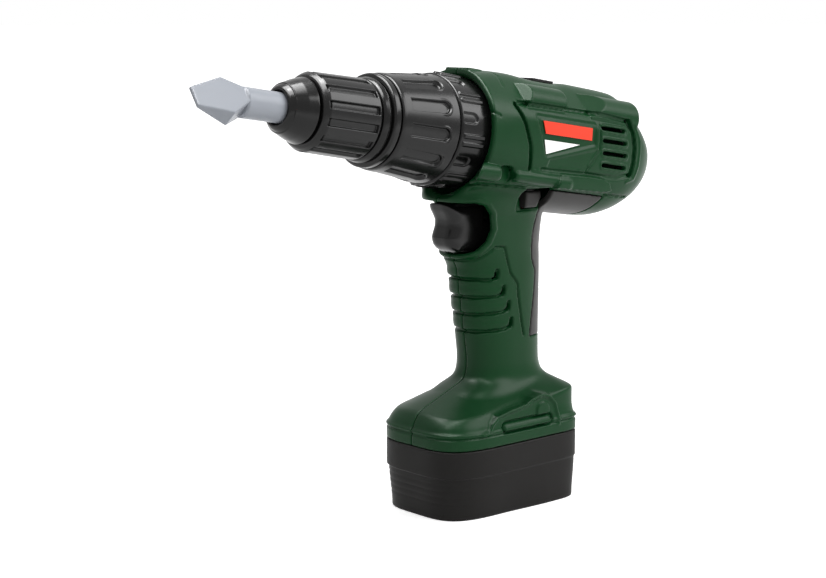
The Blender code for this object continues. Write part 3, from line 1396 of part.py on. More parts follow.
def make_leads():
    # Two leads from the cells up the handle to the switch, and two from the switch to the motor.
    switch_z = switch_low + SWITCH_HEIGHT / 2
    low_x = neck_back - LEAD_INSET
    up_the_handle = (
        (low_x, 0.37, between(0.65, bay_top + PARTITION, CASE_HEIGHT)),
        (low_x, 0.25, shoulder_z),
        (low_x, 0.14, neck_z),
        (low_x, 0.14, neck_z + HANDLE_SCREW_RISE),
        (between(0.3, switch_back, switch_back + LEAD_BOW), 0.14, palm_z),
        (between(0.8, switch_back, switch_back + LEAD_BOW), 0.14, between(0.87, palm_z, trigger_bottom_z)),
        (switch_back + LEAD_BOW, 0.14, between(0.55, trigger_bottom_z, switch_z)),
        (between(0.75, switch_back, switch_back + LEAD_BOW), 0.14, switch_z),
    )
    for name, x, y in lead_places:
        foot = bay_top
        route = [Vector((x, y, foot)), Vector((x, y, foot + PARTITION + 2 * LEAD_RADIUS))]
        if x < 0:
            route.append(Vector((0.5 * x, 0.7 * y, foot + 5 * PARTITION)))
        for along, share, height in up_the_handle:
            route.append(Vector((along, share * y, height)))
        route.append(Vector((switch_back + GAP, route[-1].y, route[-1].z + LEAD_RADIUS)))
        tube(name, smooth_path(route), LEAD_RADIUS, LEAD_VINYL)
    back = barrel_point(motor_back + GAP, -MOTOR_RADIUS / 2)
    for name, side in (("left_motor_lead", -1.0), ("right_motor_lead", 1.0)):
        y = side * MOTOR_RADIUS / 3
        top = switch_low + SWITCH_HEIGHT + GAP
        start = switch_back - 2 * EDGE_ROUND
        route = [Vector((start, y, top)), Vector((start + LEAD_RADIUS, y, top + LEAD_STEP))]
        route.append(Vector((back[0] + LEAD_STEP, y, (top + back[1]) / 2)))
        route.append(Vector((back[0] + LEAD_STEP, y, back[1] - LEAD_STEP / 2)))
        route.append(Vector((back[0], y, back[1])))
        tube(name, smooth_path(route), LEAD_RADIUS, LEAD_VINYL)


def make_screws():
    seat = SCREW_SEAT + GAP
    for number, (x, z) in enumerate(screw_places):
        head = prism(circle(x, z, SCREW_HEAD_RADIUS), seat, seat + SCREW_HEAD_HEIGHT)
        screw = placed(f"housing_screw_{number + 1}", head, STEEL)
        shank = prism(circle(x, z, SCREW_RADIUS), -SCREW_REACH, seat + SCREW_HEAD_HEIGHT / 2)
        boolean(screw, helper(f"screw_shank_{number + 1}", shank), "UNION")


contact_middle = CELL_LENGTH / 2 + GAP + CONTACT_THICKNESS / 2
lead_places = (
    ("front_battery_lead", -contact_middle, cell_middle(2)),
    ("back_battery_lead", contact_middle, cell_middle(0)),
)

make_body()
make_label()
make_nose()
make_sleeve()
make_collar()
make_spindle()
make_bit()
make_torque_ring()
make_gearbox_cover()
make_gear_train()
make_motor()
make_trigger()
make_spring()
make_selectors()
make_battery_case()
make_cells()
make_leads()
make_screws()
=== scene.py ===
import math

import bpy
import numpy as np
from mathutils import Matrix, Vector


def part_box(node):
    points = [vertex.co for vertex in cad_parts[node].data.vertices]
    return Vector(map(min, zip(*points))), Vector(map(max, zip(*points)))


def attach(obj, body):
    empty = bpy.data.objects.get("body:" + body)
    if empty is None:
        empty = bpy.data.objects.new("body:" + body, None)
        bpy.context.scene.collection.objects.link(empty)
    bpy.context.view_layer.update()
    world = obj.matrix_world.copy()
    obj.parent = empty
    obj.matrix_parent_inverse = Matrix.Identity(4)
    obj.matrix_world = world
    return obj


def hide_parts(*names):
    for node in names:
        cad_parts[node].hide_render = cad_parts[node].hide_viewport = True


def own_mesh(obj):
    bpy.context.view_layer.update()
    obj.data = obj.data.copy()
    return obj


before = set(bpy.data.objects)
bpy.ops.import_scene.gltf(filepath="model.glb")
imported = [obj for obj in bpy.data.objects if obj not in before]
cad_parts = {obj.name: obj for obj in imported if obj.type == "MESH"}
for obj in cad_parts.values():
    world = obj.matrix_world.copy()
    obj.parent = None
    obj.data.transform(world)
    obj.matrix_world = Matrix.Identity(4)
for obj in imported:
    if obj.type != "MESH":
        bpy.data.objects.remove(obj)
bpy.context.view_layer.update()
mm = 0.001
print("frame loaded")


# ---- colours and materials
def colour(code):
    parts = [int(code[i:i + 2], 16) / 255 for i in (1, 3, 5)]
    linear = [p / 12.92 if p <= 0.04045 else ((p + 0.055) / 1.055) ** 2.4 for p in parts]
    return (*linear, 1.0)


def addNode(tree, kind, links=(), **values):
    node = tree.nodes.new(kind)
    for name, value in values.items():
        if name in node.inputs:
            node.inputs[name].default_value = value
        else:
            setattr(node, name, value)
    for source, socket in links:
        tree.links.new(source, node.inputs[socket])
    return node


def plastic(name, code, rough, ior=1.53, grain=0.0, grainSize=0.4, roughSpread=0.05, **extra):
    # moulded plastic: a shader, patchy polish from handling, and the mould's own fine grain
    made = bpy.data.materials.new(name)
    made.use_nodes = True
    tree = made.node_tree
    shader = tree.nodes["Principled BSDF"]
    shader.inputs["Base Color"].default_value = colour(code)
    shader.inputs["IOR"].default_value = ior
    shader.inputs["Roughness"].default_value = rough
    for socket, value in extra.items():
        shader.inputs[socket.replace("_", " ")].default_value = value
    place = addNode(tree, "ShaderNodeTexCoord")
    if roughSpread:
        patches = addNode(tree, "ShaderNodeTexNoise", [(place.outputs["Object"], "Vector")], Scale=90.0, Detail=3.0)
        spread = addNode(tree, "ShaderNodeMapRange", [(patches.outputs["Fac"], "Value")])
        spread.inputs["To Min"].default_value = rough - roughSpread
        spread.inputs["To Max"].default_value = rough + roughSpread
        tree.links.new(spread.outputs["Result"], shader.inputs["Roughness"])
    if grain:
        fine = addNode(tree, "ShaderNodeTexNoise", [(place.outputs["Object"], "Vector")], Detail=1.0)
        fine.inputs["Scale"].default_value = 1.0 / (grainSize * mm)
        bump = addNode(tree, "ShaderNodeBump", [(fine.outputs["Fac"], "Height")], Strength=grain)
        bump.inputs["Distance"].default_value = 0.02 * mm
        tree.links.new(bump.outputs["Normal"], shader.inputs["Normal"])
    return made


greenAbs = plastic("green_abs_moulded", "#093217", 0.34, grain=0.25, Specular_IOR_Level=0.10)
blackAbs = plastic("black_abs_gloss", "#0b0b0b", 0.2, grain=0.1, Specular_IOR_Level=0.20)
ringAbs = plastic("black_abs_satin", "#0b0b0b", 0.25, grain=0.2, Specular_IOR_Level=0.22)
caseAbs = plastic("black_abs_textured", "#151413", 0.45, grain=0.6, grainSize=0.6, Specular_IOR_Level=0.10)
softRubber = plastic("charcoal_tpe_soft", "#252423", 0.42, ior=1.5, grain=0.3, Specular_IOR_Level=0.21)
silverAbs = plastic("silver_abs_pigmented", "#8f939a", 0.34, grain=0.1, Specular_IOR_Level=0.13)
redPrint = plastic("red_vinyl_print", "#e03c26", 0.4, roughSpread=0.0, Specular_IOR_Level=0.2)
whitePrint = plastic("white_vinyl_print", "#f2f2ef", 0.4, roughSpread=0.0, Specular_IOR_Level=0.2)
gearNylon = plastic("natural_nylon_moulded", "#d9d4c6", 0.42, Subsurface_Weight=0.0)
steel = plastic("zinc_plated_steel", "#b9babc", 0.3, ior=1.5, Metallic=1.0)
motorCan = plastic("nickel_plated_can", "#a9aaab", 0.32, ior=1.5, Metallic=1.0)
cellWrap = plastic("pvc_shrink_wrap", "#27467c", 0.35)
leadVinyl = plastic("pvc_wire_cover", "#a32018", 0.42)
print("materials made")


def gridOf(low, high, step):
    axes = [np.arange(a, b + step, step, dtype=np.float32) for a, b in zip(low, high)]
    return axes[0][:, None, None], axes[1][None, :, None], axes[2][None, None, :]


def skinOf(values, low, step):
    solid = values < 0.0
    strides = np.array([values.shape[1] * values.shape[2], values.shape[2], 1])
    rings, points = [], []
    for axis in range(3):
        near = [slice(None)] * 3
        far = [slice(None)] * 3
        near[axis] = slice(0, -1)
        far[axis] = slice(1, None)
        at = np.argwhere(solid[tuple(near)] != solid[tuple(far)])
        end = at.copy()
        end[:, axis] += 1
        start = values[tuple(at.T)]
        stop = values[tuple(end.T)]
        point = at.astype(np.float64)
        point[:, axis] += start / (start - stop)
        u, v = (axis + 1) % 3, (axis + 2) % 3
        ring = []
        for du, dv in ((0, 0), (-1, 0), (-1, -1), (0, -1)):
            cell = at.copy()
            cell[:, u] += du
            cell[:, v] += dv
            ring.append(cell @ strides)
        ring = np.stack(ring, 1)
        turn = start >= 0
        ring[turn] = ring[turn][:, ::-1]
        rings.append(ring)
        points.append(point)
    rings = np.concatenate(rings)
    points = np.concatenate(points)
    cells, index = np.unique(rings.ravel(), return_inverse=True)
    index = index.reshape(rings.shape)
    count = np.bincount(index.ravel(), minlength=len(cells))
    verts = np.empty((len(cells), 3))
    for k in range(3):
        total = np.bincount(index.ravel(), weights=np.repeat(points[:, k], 4), minlength=len(cells))
        verts[:, k] = low[k] + step * total / count
    return verts, index


def meshOf(name, verts, faces, material, flip=False):
    # verts in mm
    mesh = bpy.data.meshes.new(name)
    if flip:
        faces = faces[:, ::-1]
    faces = np.ascontiguousarray(faces, dtype=np.int32)
    mesh.vertices.add(len(verts))
    mesh.vertices.foreach_set("co", (np.asarray(verts) * mm).astype(np.float32).ravel())
    mesh.loops.add(faces.size)
    mesh.loops.foreach_set("vertex_index", faces.ravel())
    mesh.polygons.add(len(faces))
    mesh.polygons.foreach_set("loop_start", np.arange(0, faces.size, faces.shape[1], dtype=np.int32))
    mesh.update(calc_edges=True)
    mesh.validate()
    mesh.materials.append(material)
    mesh.shade_smooth()
    piece = bpy.data.objects.new(name, mesh)
    bpy.context.scene.collection.objects.link(piece)
    return piece


def give(piece, body, slot, *nodes):
    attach(piece, body)
    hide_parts(*nodes)
    print(piece.name, len(piece.data.polygons), "faces")


def join(a, b, k):
    # union with a fillet of about k
    if np.ndim(k) == 0 and k <= 0:
        return np.minimum(a, b)
    h = np.clip(0.5 + 0.5 * (b - a) / k, 0.0, 1.0)
    return b + (a - b) * h - k * h * (1.0 - h)


def meet(a, b, k=0.0):
    return -join(-a, -b, k)


def cut(a, b, k=0.0):
    return meet(a, -b, k)


def ramp(x, low, high):
    t = np.clip((x - low) / (high - low), 0.0, 1.0)
    return t * t * (3.0 - 2.0 * t)


def lineDistance(x, z, points):
    best = np.full(np.broadcast(x, z).shape, 1e9, dtype=np.float32)
    for (ax, az), (bx, bz) in zip(points, points[1:]):
        dx, dz = bx - ax, bz - az
        t = np.clip(((x - ax) * dx + (z - az) * dz) / (dx * dx + dz * dz), 0.0, 1.0)
        best = np.minimum(best, np.hypot(x - ax - t * dx, z - az - t * dz))
    return best


def areaDistance(x, z, points, rounding=0.0):
    closed = list(points) + [points[0]]
    away = lineDistance(x, z, closed)
    inside = np.zeros(away.shape, dtype=bool)
    for (ax, az), (bx, bz) in zip(closed, closed[1:]):
        if az == bz:
            continue
        crosses = (az > z) != (bz > z)
        inside ^= crosses & (x < ax + (bx - ax) * (z - az) / (bz - az))
    return np.where(inside, -away, away) - rounding


def smoothTable(points, blur, step=0.25):
    # a table through (place, value) points with its corners eased over blur mm
    points = np.array(points, dtype=float)
    places = np.arange(points[0, 0] - 4 * blur, points[-1, 0] + 4 * blur, step)
    kernel = np.exp(-0.5 * (np.arange(-3 * blur, 3 * blur + step, step) / blur) ** 2)
    kernel /= kernel.sum()
    columns = [places]
    for k in range(1, points.shape[1]):
        raw = np.interp(places, points[:, 0], points[:, k])
        pad = len(kernel) // 2
        padded = np.pad(raw, pad, mode="edge")
        columns.append(np.convolve(padded, kernel, mode="valid")[:len(places)])
    return columns


def look(table, column, x):
    return np.interp(x, table[0], table[column]).astype(np.float32)


# the two green halves and the soft back
body = {
    "axisX": -19.0, "axisZ": 176.5, "tilt": math.radians(8.5), "length": 119.5, "wall": 3.0, "gap": 0.3,
    "mouthBore": 25.9, "mouthDepth": 8.0, "mouthChamfer": 1.4,
    # along the barrel: half width, top, bottom, squareness
    "barrel": (
        (0, 29.6, 29.6, 29.6, 2.1), (9.4, 30, 30.2, 30.4, 2.25), (23, 30, 30.8, 31.2, 2.6), (38, 30, 29.3, 31.6, 3.0),
        (54, 30, 29.3, 31.7, 3.0), (60, 30, 30.6, 31.7, 3.0), (85.5, 29.5, 30.2, 31.5, 3.0), (95.7, 29, 29.6, 28.5, 3.0), (105.2, 27.3, 27.4, 23.3, 3.0),
        (113.4, 23.5, 24, 17, 2.8), (119.5, 17, 18, 11, 2.6),
    ),
    # up the handle: front, back, half width, squareness
    "handle": (
        (46, -23, 37, 21, 2.9), (52, -22, 38, 20, 2.9), (56.5, -18, 38, 18, 2.9), (59, -11, 37.2, 16.6, 2.7),
        (61.5, -8.8, 35.4, 15.6, 2.6), (66, -7.9, 33.9, 14.8, 2.6), (72, -8.0, 33.7, 14.6, 2.6), (85, -9.9, 33.7, 14.6, 2.6),
        (110, -13.8, 33.7, 15.6, 2.6), (114, -14.5, 33.6, 15.7, 2.6), (117, -16.2, 33.6, 15.8, 2.6), (121.5, -20.2, 33.4, 16.1, 2.6),
        (130, -23.5, 33.4, 17.2, 2.7), (137.6, -26.0, 34.0, 18.1, 2.8), (143, -27.0, 37.2, 20, 2.9),
        (147.5, -27.5, 44, 21.6, 3.0), (164, -20, 44, 21.6, 3.0),
    ),
    "baseLength": 85.0, "baseWidth": 58.0, "frontSquareness": 4.0, "backSquareness": 9.0, "baseBottom": 33.3,
    # along the base: height of its middle, height of its shoulder
    "baseRoof": (
        (-44, 44.6, 43.6), (-38, 48.2, 44.6), (-30, 51.6, 45.2), (-17, 56.8, 46.6), (-8, 59.2, 47.6), (0, 60, 48.6), (20, 61.8, 51),
        (33, 61.5, 53.4), (38, 58.6, 53.6), (43, 54.8, 53.2),
    ),
    # shoulder rails: start, end, radius, place across and up, slant of the start
    "rails": ((21.0, 47.5, 8.6, 19.4, 17.6, 0.7), (63.5, 98.4, 9.0, 19.2, 17.2, 2.6)), "railProud": 4.2,
    # slanted planes that take off the shoulders and the top corners of the tail
    "shoulder": 30.3, "tailCorner": (1.0, 1.1, 0.93, 141.5),
    # pipes low on the side: start, end, radius, place across
    "pipes": ((-10.5, 9.0, 4.1, 26.6), (16.0, 54.0, 2.9, 26.9)), "pipeDrop": 16.4,
    "scoop": ((10.6, -16.4), (13.2, -16.4)), "scoopRadius": 4.0, "scoopFloor": 24.4,
    "softOutline": ((20.4, 79), (90, 79), (50.1, 134.5), (57.0, 143.9), (22.5, 149.1), (22.5, 139.4), (19.8, 128.5), (20.6, 116),
                    (23.6, 110), (23.2, 100), (21.6, 88)),
    # the trigger's opening, from its lower lip round to the roof
    "opening": ((-60, 119.2), (-24, 119.8), (-18.4, 121), (-13.6, 123.2), (-9.8, 127.2), (-8.0, 132.5), (-9.6, 138.6), (-13.4, 142.6),
                (-18.4, 144.2), (-60, 144.6)),
    "openingRound": 1.0,
    "pocket": ((7.6, 142.0), (20.0, 142.0), (20.0, 148.0), (7.6, 148.0)), "pocketRound": 2.6, "pocketFloor": 17.5,
    "label": ((27.8, 11.6), (35.6, -5.2), (66.4, 3.2), (66.4, 11.6)), "labelFloor": 28.6,
    # upright plate on each side of the base
    "arch": ((-23.5, 39.6), (-19.6, 41.2), (-17.8, 44.2), (-14.4, 47), (-7, 48.6), (4, 50.2), (8.5, 52.4), (14.5, 53.6), (19.3, 52.4), (23.4, 48.4), (25.6, 42),
             (25.7, 38.6)),
    "archFace": 28.3, "archThick": 6.0,
    # vent slots: start, end, height
    "vents": ((71.9, 87.4, 11.0), (73.0, 88.8, 5.2), (73.8, 89.8, -0.6), (74.2, 89.8, -6.4)), "ventHalf": 0.9,
}
cosTilt, sinTilt = math.cos(body["tilt"]), math.sin(body["tilt"])
barrelTable = smoothTable(body["barrel"], 3.0)
handleTable = smoothTable(body["handle"], 1.3)
roofTable = smoothTable(body["baseRoof"], 1.8)


def toBarrel(x, z):
    dx, dz = x - body["axisX"], z - body["axisZ"]
    return dx * cosTilt - dz * sinTilt, dx * sinTilt + dz * cosTilt


def fromBarrel(s, h):
    return body["axisX"] + s * cosTilt + h * sinTilt, body["axisZ"] - s * sinTilt + h * cosTilt


def ovalDistance(a, b, halfA, halfB, power):
    reach = (np.abs(a / halfA) ** power + np.abs(b / halfB) ** power) ** (1.0 / power)
    far = np.hypot(a, b)
    return far - far / np.maximum(reach, 1e-3)


def baseOval(x, y, inset):
    # the base's plan: rounder in front than at the back
    power = np.where(x > 0, body["backSquareness"], body["frontSquareness"])
    return ovalDistance(x, y, body["baseLength"] / 2 - inset, body["baseWidth"] / 2 - inset, power)


def skinField(x, y, z):
    # the plain outside: barrel with its rails, handle and base run together
    s, h = toBarrel(x, z)
    top = look(barrelTable, 2, s)
    bottom = look(barrelTable, 3, s)
    barrel = ovalDistance(y, h, look(barrelTable, 1, s), np.where(h > 0, top, bottom), look(barrelTable, 4, s))
    barrel = meet(barrel, -s, 1.0)
    barrel = meet(barrel, s - body["length"], 6.0)
    barrel = meet(barrel, (np.abs(y) + h) * 0.7071 - body["shoulder"], 3.0)
    along, rise, aside, reach = body["tailCorner"]
    corner = (along * s + rise * h + aside * np.abs(y) - reach) / math.hypot(along, rise, aside)
    barrel = meet(barrel, corner, 5.0)
    for start, end, radius, across, up, slant in body["rails"]:
        dy, dh = np.abs(y) - across, h - up
        proud = (dy + dh) * 0.7071 - radius + body["railProud"]
        face = (start + slant * proud - s) / math.hypot(1.0, slant)
        rail = meet(np.hypot(dy, dh) - radius, np.maximum(face, start - s), 0.2)
        barrel = join(barrel, meet(rail, s - end, 1.5), 0.4)
    lug = np.maximum(np.maximum(np.abs(y) - 8.0, np.abs(s - 4.5) - 4.0), h - 30.1)
    barrel = join(barrel, np.maximum(lug, 20.0 - h), 0.4)
    front, back = look(handleTable, 1, z), look(handleTable, 2, z)
    handle = ovalDistance(x - (front + back) / 2, y, (back - front) / 2, look(handleTable, 3, z), look(handleTable, 4, z))
    handle = meet(handle, z - 166.0, 3.0)
    handle = meet(handle, 46.0 - z)
    whole = join(barrel, handle, 1.6)
    for start, end, radius, across in body["pipes"]:
        along = np.maximum(np.maximum(start + radius - s, s - end + radius), 0.0)
        whole = join(whole, np.sqrt((np.abs(y) - across) ** 2 + (h + body["pipeDrop"]) ** 2 + along ** 2) - radius, 0.4)
    whole = join(whole, baseField(x, y, z), 2.0)
    plate = np.abs(np.abs(y) - body["archFace"] + body["archThick"] / 2) - body["archThick"] / 2
    return join(whole, meet(plate, np.broadcast_to(areaDistance(x, z, body["arch"]), whole.shape), 0.6), 0.8)


def baseField(x, y, z):
    # leaning wall with a bead above its lower edge, under a roof that rises to the handle
    lean = (1.5 - 0.9 * ramp(x, 10.0, 35.0)) * ramp(z, 41.0, 47.0)
    lean = lean + 0.9 * ramp(z, 38.2, 38.7) - 1.2 * np.exp(-((z - 40.2) / 1.1) ** 2)
    wall = baseOval(x, y, lean)
    middle, shoulder = look(roofTable, 1, x), look(roofTable, 2, x)
    share = np.clip(np.abs(y) / 28.0, 0.0, 1.2)
    roof = middle + (shoulder - middle) * share ** 1.8
    block = meet(wall, (z - roof) * 0.9, 3.8 - 2.4 * ramp(x, 5.0, 30.0))
    return meet(block, body["baseBottom"] - z, 0.3)


def sideRelief(x, z):
    # what the mould adds and takes off the flat of each side, seen from the side, in mm outwards
    s, h = toBarrel(x, z)
    relief = np.zeros(np.broadcast(x, z).shape, dtype=np.float32)

    def groove(points, width, depth, barrelPlace=True, soft=0.3):
        a, b = (s, h) if barrelPlace else (x, z)
        away = lineDistance(a, b, points)
        return -depth * (1.0 - ramp(away, width / 2 - soft, width / 2 + soft))

    def panel(points, height, barrelPlace=True, soft=0.3, rounding=0.0):
        a, b = (s, h) if barrelPlace else (x, z)
        return height * (1.0 - ramp(areaDistance(a, b, points, rounding), -soft, soft))

    # side panel and the grooves round it
    relief += panel(((14, 16.5), (89, 16.6), (94, 11.5), (96.5, 4), (96, -9.5), (74, -11.7), (25, -12.5), (23.6, -2), (19.5, 7)), -0.45)
    relief += groove(((14.2, 15.4), (19.5, 6.8), (23.6, -1.9), (25.4, -12.3)), 2.2, 2.1, soft=0.2)
    relief += groove(((17.0, 16.6), (44, 16.9), (72, 17.2), (90, 16.2)), 1.8, 1.3, soft=0.45)
    relief += groove(((90, 16.2), (94, 11.5), (96.2, 4), (96.4, -3.5), (95.3, -9.2)), 2.4, 2.2, soft=0.3)
    relief += groove(((95.3, -9.2), (86, -11.4), (74, -11.8), (64, -11.6), (33.4, -12.2)), 1.8, 1.1, soft=0.5)
    relief += groove(((62.8, -10.6), (70.6, 0.6), (70.2, 12.4)), 0.9, 0.8, soft=0.2)
    relief += panel(((37.4, -7.2), (69.5, 0.4), (62.3, -10.2), (36.4, -10.8)), -0.5)
    relief += groove(body["label"] + body["label"][:1], 2.4, 0.5, soft=0.6)
    for start, end, level in body["vents"]:
        rim = lineDistance(s, h, ((start, level), (end, level)))
        relief += 0.45 * (1.0 - ramp(np.abs(rim - 1.6), 0.3, 0.7))
    relief += 0.6 * np.exp(-(lineDistance(s, h, ((96, 14.5), (99.6, 9), (100.8, 3), (100.6, -5), (98.6, -11), (93, -13))) / 0.6) ** 2)
    relief += groove(((80, -20.2), (98, -19.6)), 1.0, 0.9, soft=0.2)
    # lines on the hood over the mouth
    relief += groove(((13.0, 32), (13.6, 28), (11.9, 23.5)), 0.9, 0.4, soft=0.3)
    relief += groove(((-2, 11.0), (3.5, 9.2)), 0.8, 0.6, soft=0.2)
    # bright flat behind the low pipe, and the line under it
    flat = panel(((46, -12.9), (74, -12.4), (80.4, -14.5), (83.1, -17.9), (79.2, -19.2), (43.4, -20.3)), 1.0, soft=0.2)
    relief += flat * (0.5 + 0.2 * np.clip(-12.4 - h, 0.0, 9.0))
    relief += groove(((-15, -25), (3, -22), (22, -21.2), (46, -21.2)), 1.0, 0.9, soft=0.2)
    # band under the trigger, the line beside the grip, and the finger bands
    relief += groove(((-31, 119), (-22, 117), (-12.6, 118), (-4.3, 123.7), (1.2, 123.3), (3.2, 118), (5.9, 110.7), (10.6, 105.5),
                      (12, 97), (14.2, 87.5), (16.0, 80)), 1.0, 1.1, False, 0.2)
    for endX, endZ, low in ((-1.3, 109.5, 108.5), (2.8, 101.6, 100.0), (6.1, 94.0, 91.7), (8.2, 85.8, 83.3)):
        path = ((-30, low + 0.8), (-10, low - 0.2), (endX - 4, endZ - 1.6), (endX - 0.6, endZ), (endX - 0.4, endZ + 1.6))
        relief += groove(path, 1.4, 1.6, False, 0.2)
        hook = lineDistance(x, z, ((endX - 0.9, endZ - 0.2), (endX - 0.5, endZ + 2.6)))
        relief += -1.7 * (1.0 - ramp(hook, 1.0, 1.4))
        band = ((-30, low + 0.8), (-10, low - 0.2), (endX - 4, endZ - 1.6), (endX - 1, endZ), (endX - 1, endZ + 3.4), (-30, low + 6.5))
        relief += 0.3 * (1.0 - ramp(areaDistance(x, z, band), -2.4, -0.3))
    rim = np.abs(areaDistance(x, z, body["opening"], body["openingRound"]) - 1.3)
    relief += 0.5 * (1.0 - ramp(rim, 0.3, 1.0)) * ramp(x, -24.0, -20.0)
    # raised arch with its bar and thumb pad on the base
    relief += 1.0 * np.exp(-(lineDistance(x, z, body["arch"]) / 0.9) ** 2)
    bar = lineDistance(x, z, ((-9, 41.4), (19, 41.4)))
    relief += -1.9 * (1.0 - ramp(bar, 2.6, 3.1))
    relief += 2.3 * np.sqrt(np.clip(1.0 - (bar / 2.0) ** 2, 0.0, 1.0))
    pad = np.hypot(x - 15, z - 46.0)
    relief += 0.9 * (1.0 - ramp(pad, 3.9, 4.5)) * ramp(z, 44.2, 44.8)
    return relief


def bodyShell(x, y, z):
    # the finished wall of the body, without its split
    plain = skinField(x, y, z)
    s, h = toBarrel(x, z)
    outer = plain - sideRelief(x, z)
    shell = cut(outer, plain + body["wall"], 0.3)
    across = np.hypot(y, h)
    bore = meet(across - body["mouthBore"], s - body["mouthDepth"])
    shell = cut(shell, bore)
    shell = cut(shell, meet(across - body["mouthBore"] - body["mouthChamfer"] + s, s - 4.0), 0.4)
    opening = areaDistance(x, z, body["opening"], body["openingRound"])
    shell = cut(shell, np.broadcast_to(opening, shell.shape), 0.9)
    scoop = lineDistance(s, h, body["scoop"]) - body["scoopRadius"]
    floor = np.maximum(np.maximum(scoop - 1.2, plain + 1.0), np.abs(np.abs(y) - body["scoopFloor"] + 1.2) - 1.1)
    shell = cut(np.minimum(shell, floor), np.maximum(scoop, body["scoopFloor"] - np.abs(y)), 0.3)
    pocket = areaDistance(x, z, body["pocket"], body["pocketRound"])
    backing = np.maximum(np.maximum(pocket - 1.2, plain + 1.0), np.abs(np.abs(y) - 16.2) - 1.3)
    shell = np.minimum(shell, backing)
    shell = cut(shell, np.maximum(pocket, body["pocketFloor"] - np.abs(y)), 0.4)
    hole = areaDistance(x, z, ((9.6, 140.6), (21.4, 140.6), (21.4, 149.4), (9.6, 149.4)))
    shell = cut(shell, np.broadcast_to(hole, shell.shape))
    label = areaDistance(s, h, body["label"], 0.6)
    shell = cut(shell, np.maximum(label, body["labelFloor"] - np.abs(y)), 0.6)
    for start, end, level in body["vents"]:
        slot = lineDistance(s, h, ((start, level), (end, level))) - body["ventHalf"]
        shell = cut(shell, np.broadcast_to(slot, shell.shape), 0.3)
    track = np.maximum(np.maximum(np.abs(y) - 8.4, np.abs(s - 52.5) - 10.8), 28.8 - h)
    return cut(shell, track, 0.3)


def softField(x, y, z):
    plain = skinField(x, y, z)
    wall = cut(plain, plain + body["wall"], 0.2)
    region = areaDistance(x, z, body["softOutline"])
    return meet(wall, np.broadcast_to(region, wall.shape), 0.5)


bodyStep = 0.55
low = (-46.0, -34.0, 31.0)
gx, gy, gz = gridOf(low, (108.0, 2.0, 212.0), bodyStep)
shell = bodyShell(gx, gy, gz)
seat = areaDistance(gx, gz, body["softOutline"]) - body["gap"]
shell = cut(shell, np.broadcast_to(seat, shell.shape), 0.2)
shell = meet(shell, gy + body["gap"] / 2, 0.25)
verts, faces = skinOf(shell, low, bodyStep)
leftHousing = meshOf("leftHousing", verts, faces, greenAbs)
give(leftHousing, "housing", "green_abs", "left_housing")
for x, z in (fromBarrel(58, 20), fromBarrel(105, 2), fromBarrel(74, -12.5), (12.85, 98), (-31.5, 43.2), (31.5, 43.2)):
    hole = np.maximum(np.hypot(gx - x, gz - z) - 3.0, gy + 6.0)
    shell = cut(shell, hole, 0.2)
verts, faces = skinOf(shell, low, bodyStep)
rightHousing = meshOf("rightHousing", verts * (1, -1, 1), faces, greenAbs, flip=True)
give(rightHousing, "housing", "green_abs", "right_housing")
low = (20.0, -34.0, 72.0)
gx, gy, gz = gridOf(low, (94.0, 34.0, 152.0), bodyStep)
verts, faces = skinOf(softField(gx, gy, gz), low, bodyStep)
softBack = meshOf("softBack", verts, faces, softRubber)
give(softBack, "housing", "charcoal_rubber", "soft_back")


# ---- chuck and rings: rows of radii round the barrel axis
def barrelPoints(s, y, h):
    x, z = fromBarrel(s, h)
    return np.stack(np.broadcast_arrays(x, y, z), -1)


def turned(name, rows, columns, reach, bore, material):
    # outside radii from reach(place, angle), then the inside as plain (place, radius) rings, back to front
    angle = np.linspace(0, 2 * math.pi, columns, endpoint=False)[None, :]
    place = np.asarray(rows, dtype=float)[:, None]
    radius = reach(place, angle) + 0 * angle
    inner = np.array(bore, dtype=float)
    place = np.concatenate([place + 0 * angle, inner[:, :1] + 0 * angle])
    radius = np.concatenate([radius, inner[:, 1:] + 0 * angle])
    verts = barrelPoints(place, radius * np.cos(angle), radius * np.sin(angle)).reshape(-1, 3)
    count = len(place)
    a = np.arange(count)[:, None] * columns + np.arange(columns)[None, :]
    b = np.roll(a, -1, 1)
    c, d = np.roll(b, -1, 0), np.roll(a, -1, 0)
    faces = np.stack([a, d, c, b], -1).reshape(-1, 4)
    return meshOf(name, verts, faces, material)


def spread(*marks):
    # rows between marks (place, number of rows up to the next mark)
    rows = []
    for (start, count), (end, _) in zip(marks, marks[1:]):
        rows += list(np.linspace(start, end, count, endpoint=False))
    return rows + [marks[-1][0]]


def beat(angle, count, phase=0.0):
    # distance in radians to the nearest of count evenly spaced places
    step = 2 * math.pi / count
    return np.abs((angle - phase + step / 2) % step - step / 2)


nose = {
    "front": -100.6, "back": -87.4, "bore": 7.0,
    "profile": ((-100.6, 7.9), (-100.4, 8.6), (-99.9, 9.3), (-99.0, 10.0), (-98.45, 10.35), (-98.2, 10.9), (-97.9, 11.0), (-93.0, 13.0), (-89.0, 14.3),
                (-88.6, 14.4), (-88.3, 13.4), (-87.9, 13.4), (-87.4, 13.4)),
}
noseCurve = np.array(nose["profile"])
chuckNose = turned("chuckNose", spread((nose["front"], 14), (-98.9, 4), (-98.5, 10), (-97.8, 26), (-88.8, 14), (nose["back"], 1)), 160,
                   lambda s, a: np.interp(s, noseCurve[:, 0], noseCurve[:, 1]),
                   ((nose["back"], nose["bore"]), (-99.4, nose["bore"]), (-100.3, 7.5)), blackAbs)
give(chuckNose, "chuck", "black_abs", "chuck_nose")

sleeve = {"front": -87.1, "back": -56.1, "ribs": 14, "ribHalf": 2.1, "depth": 1.4}


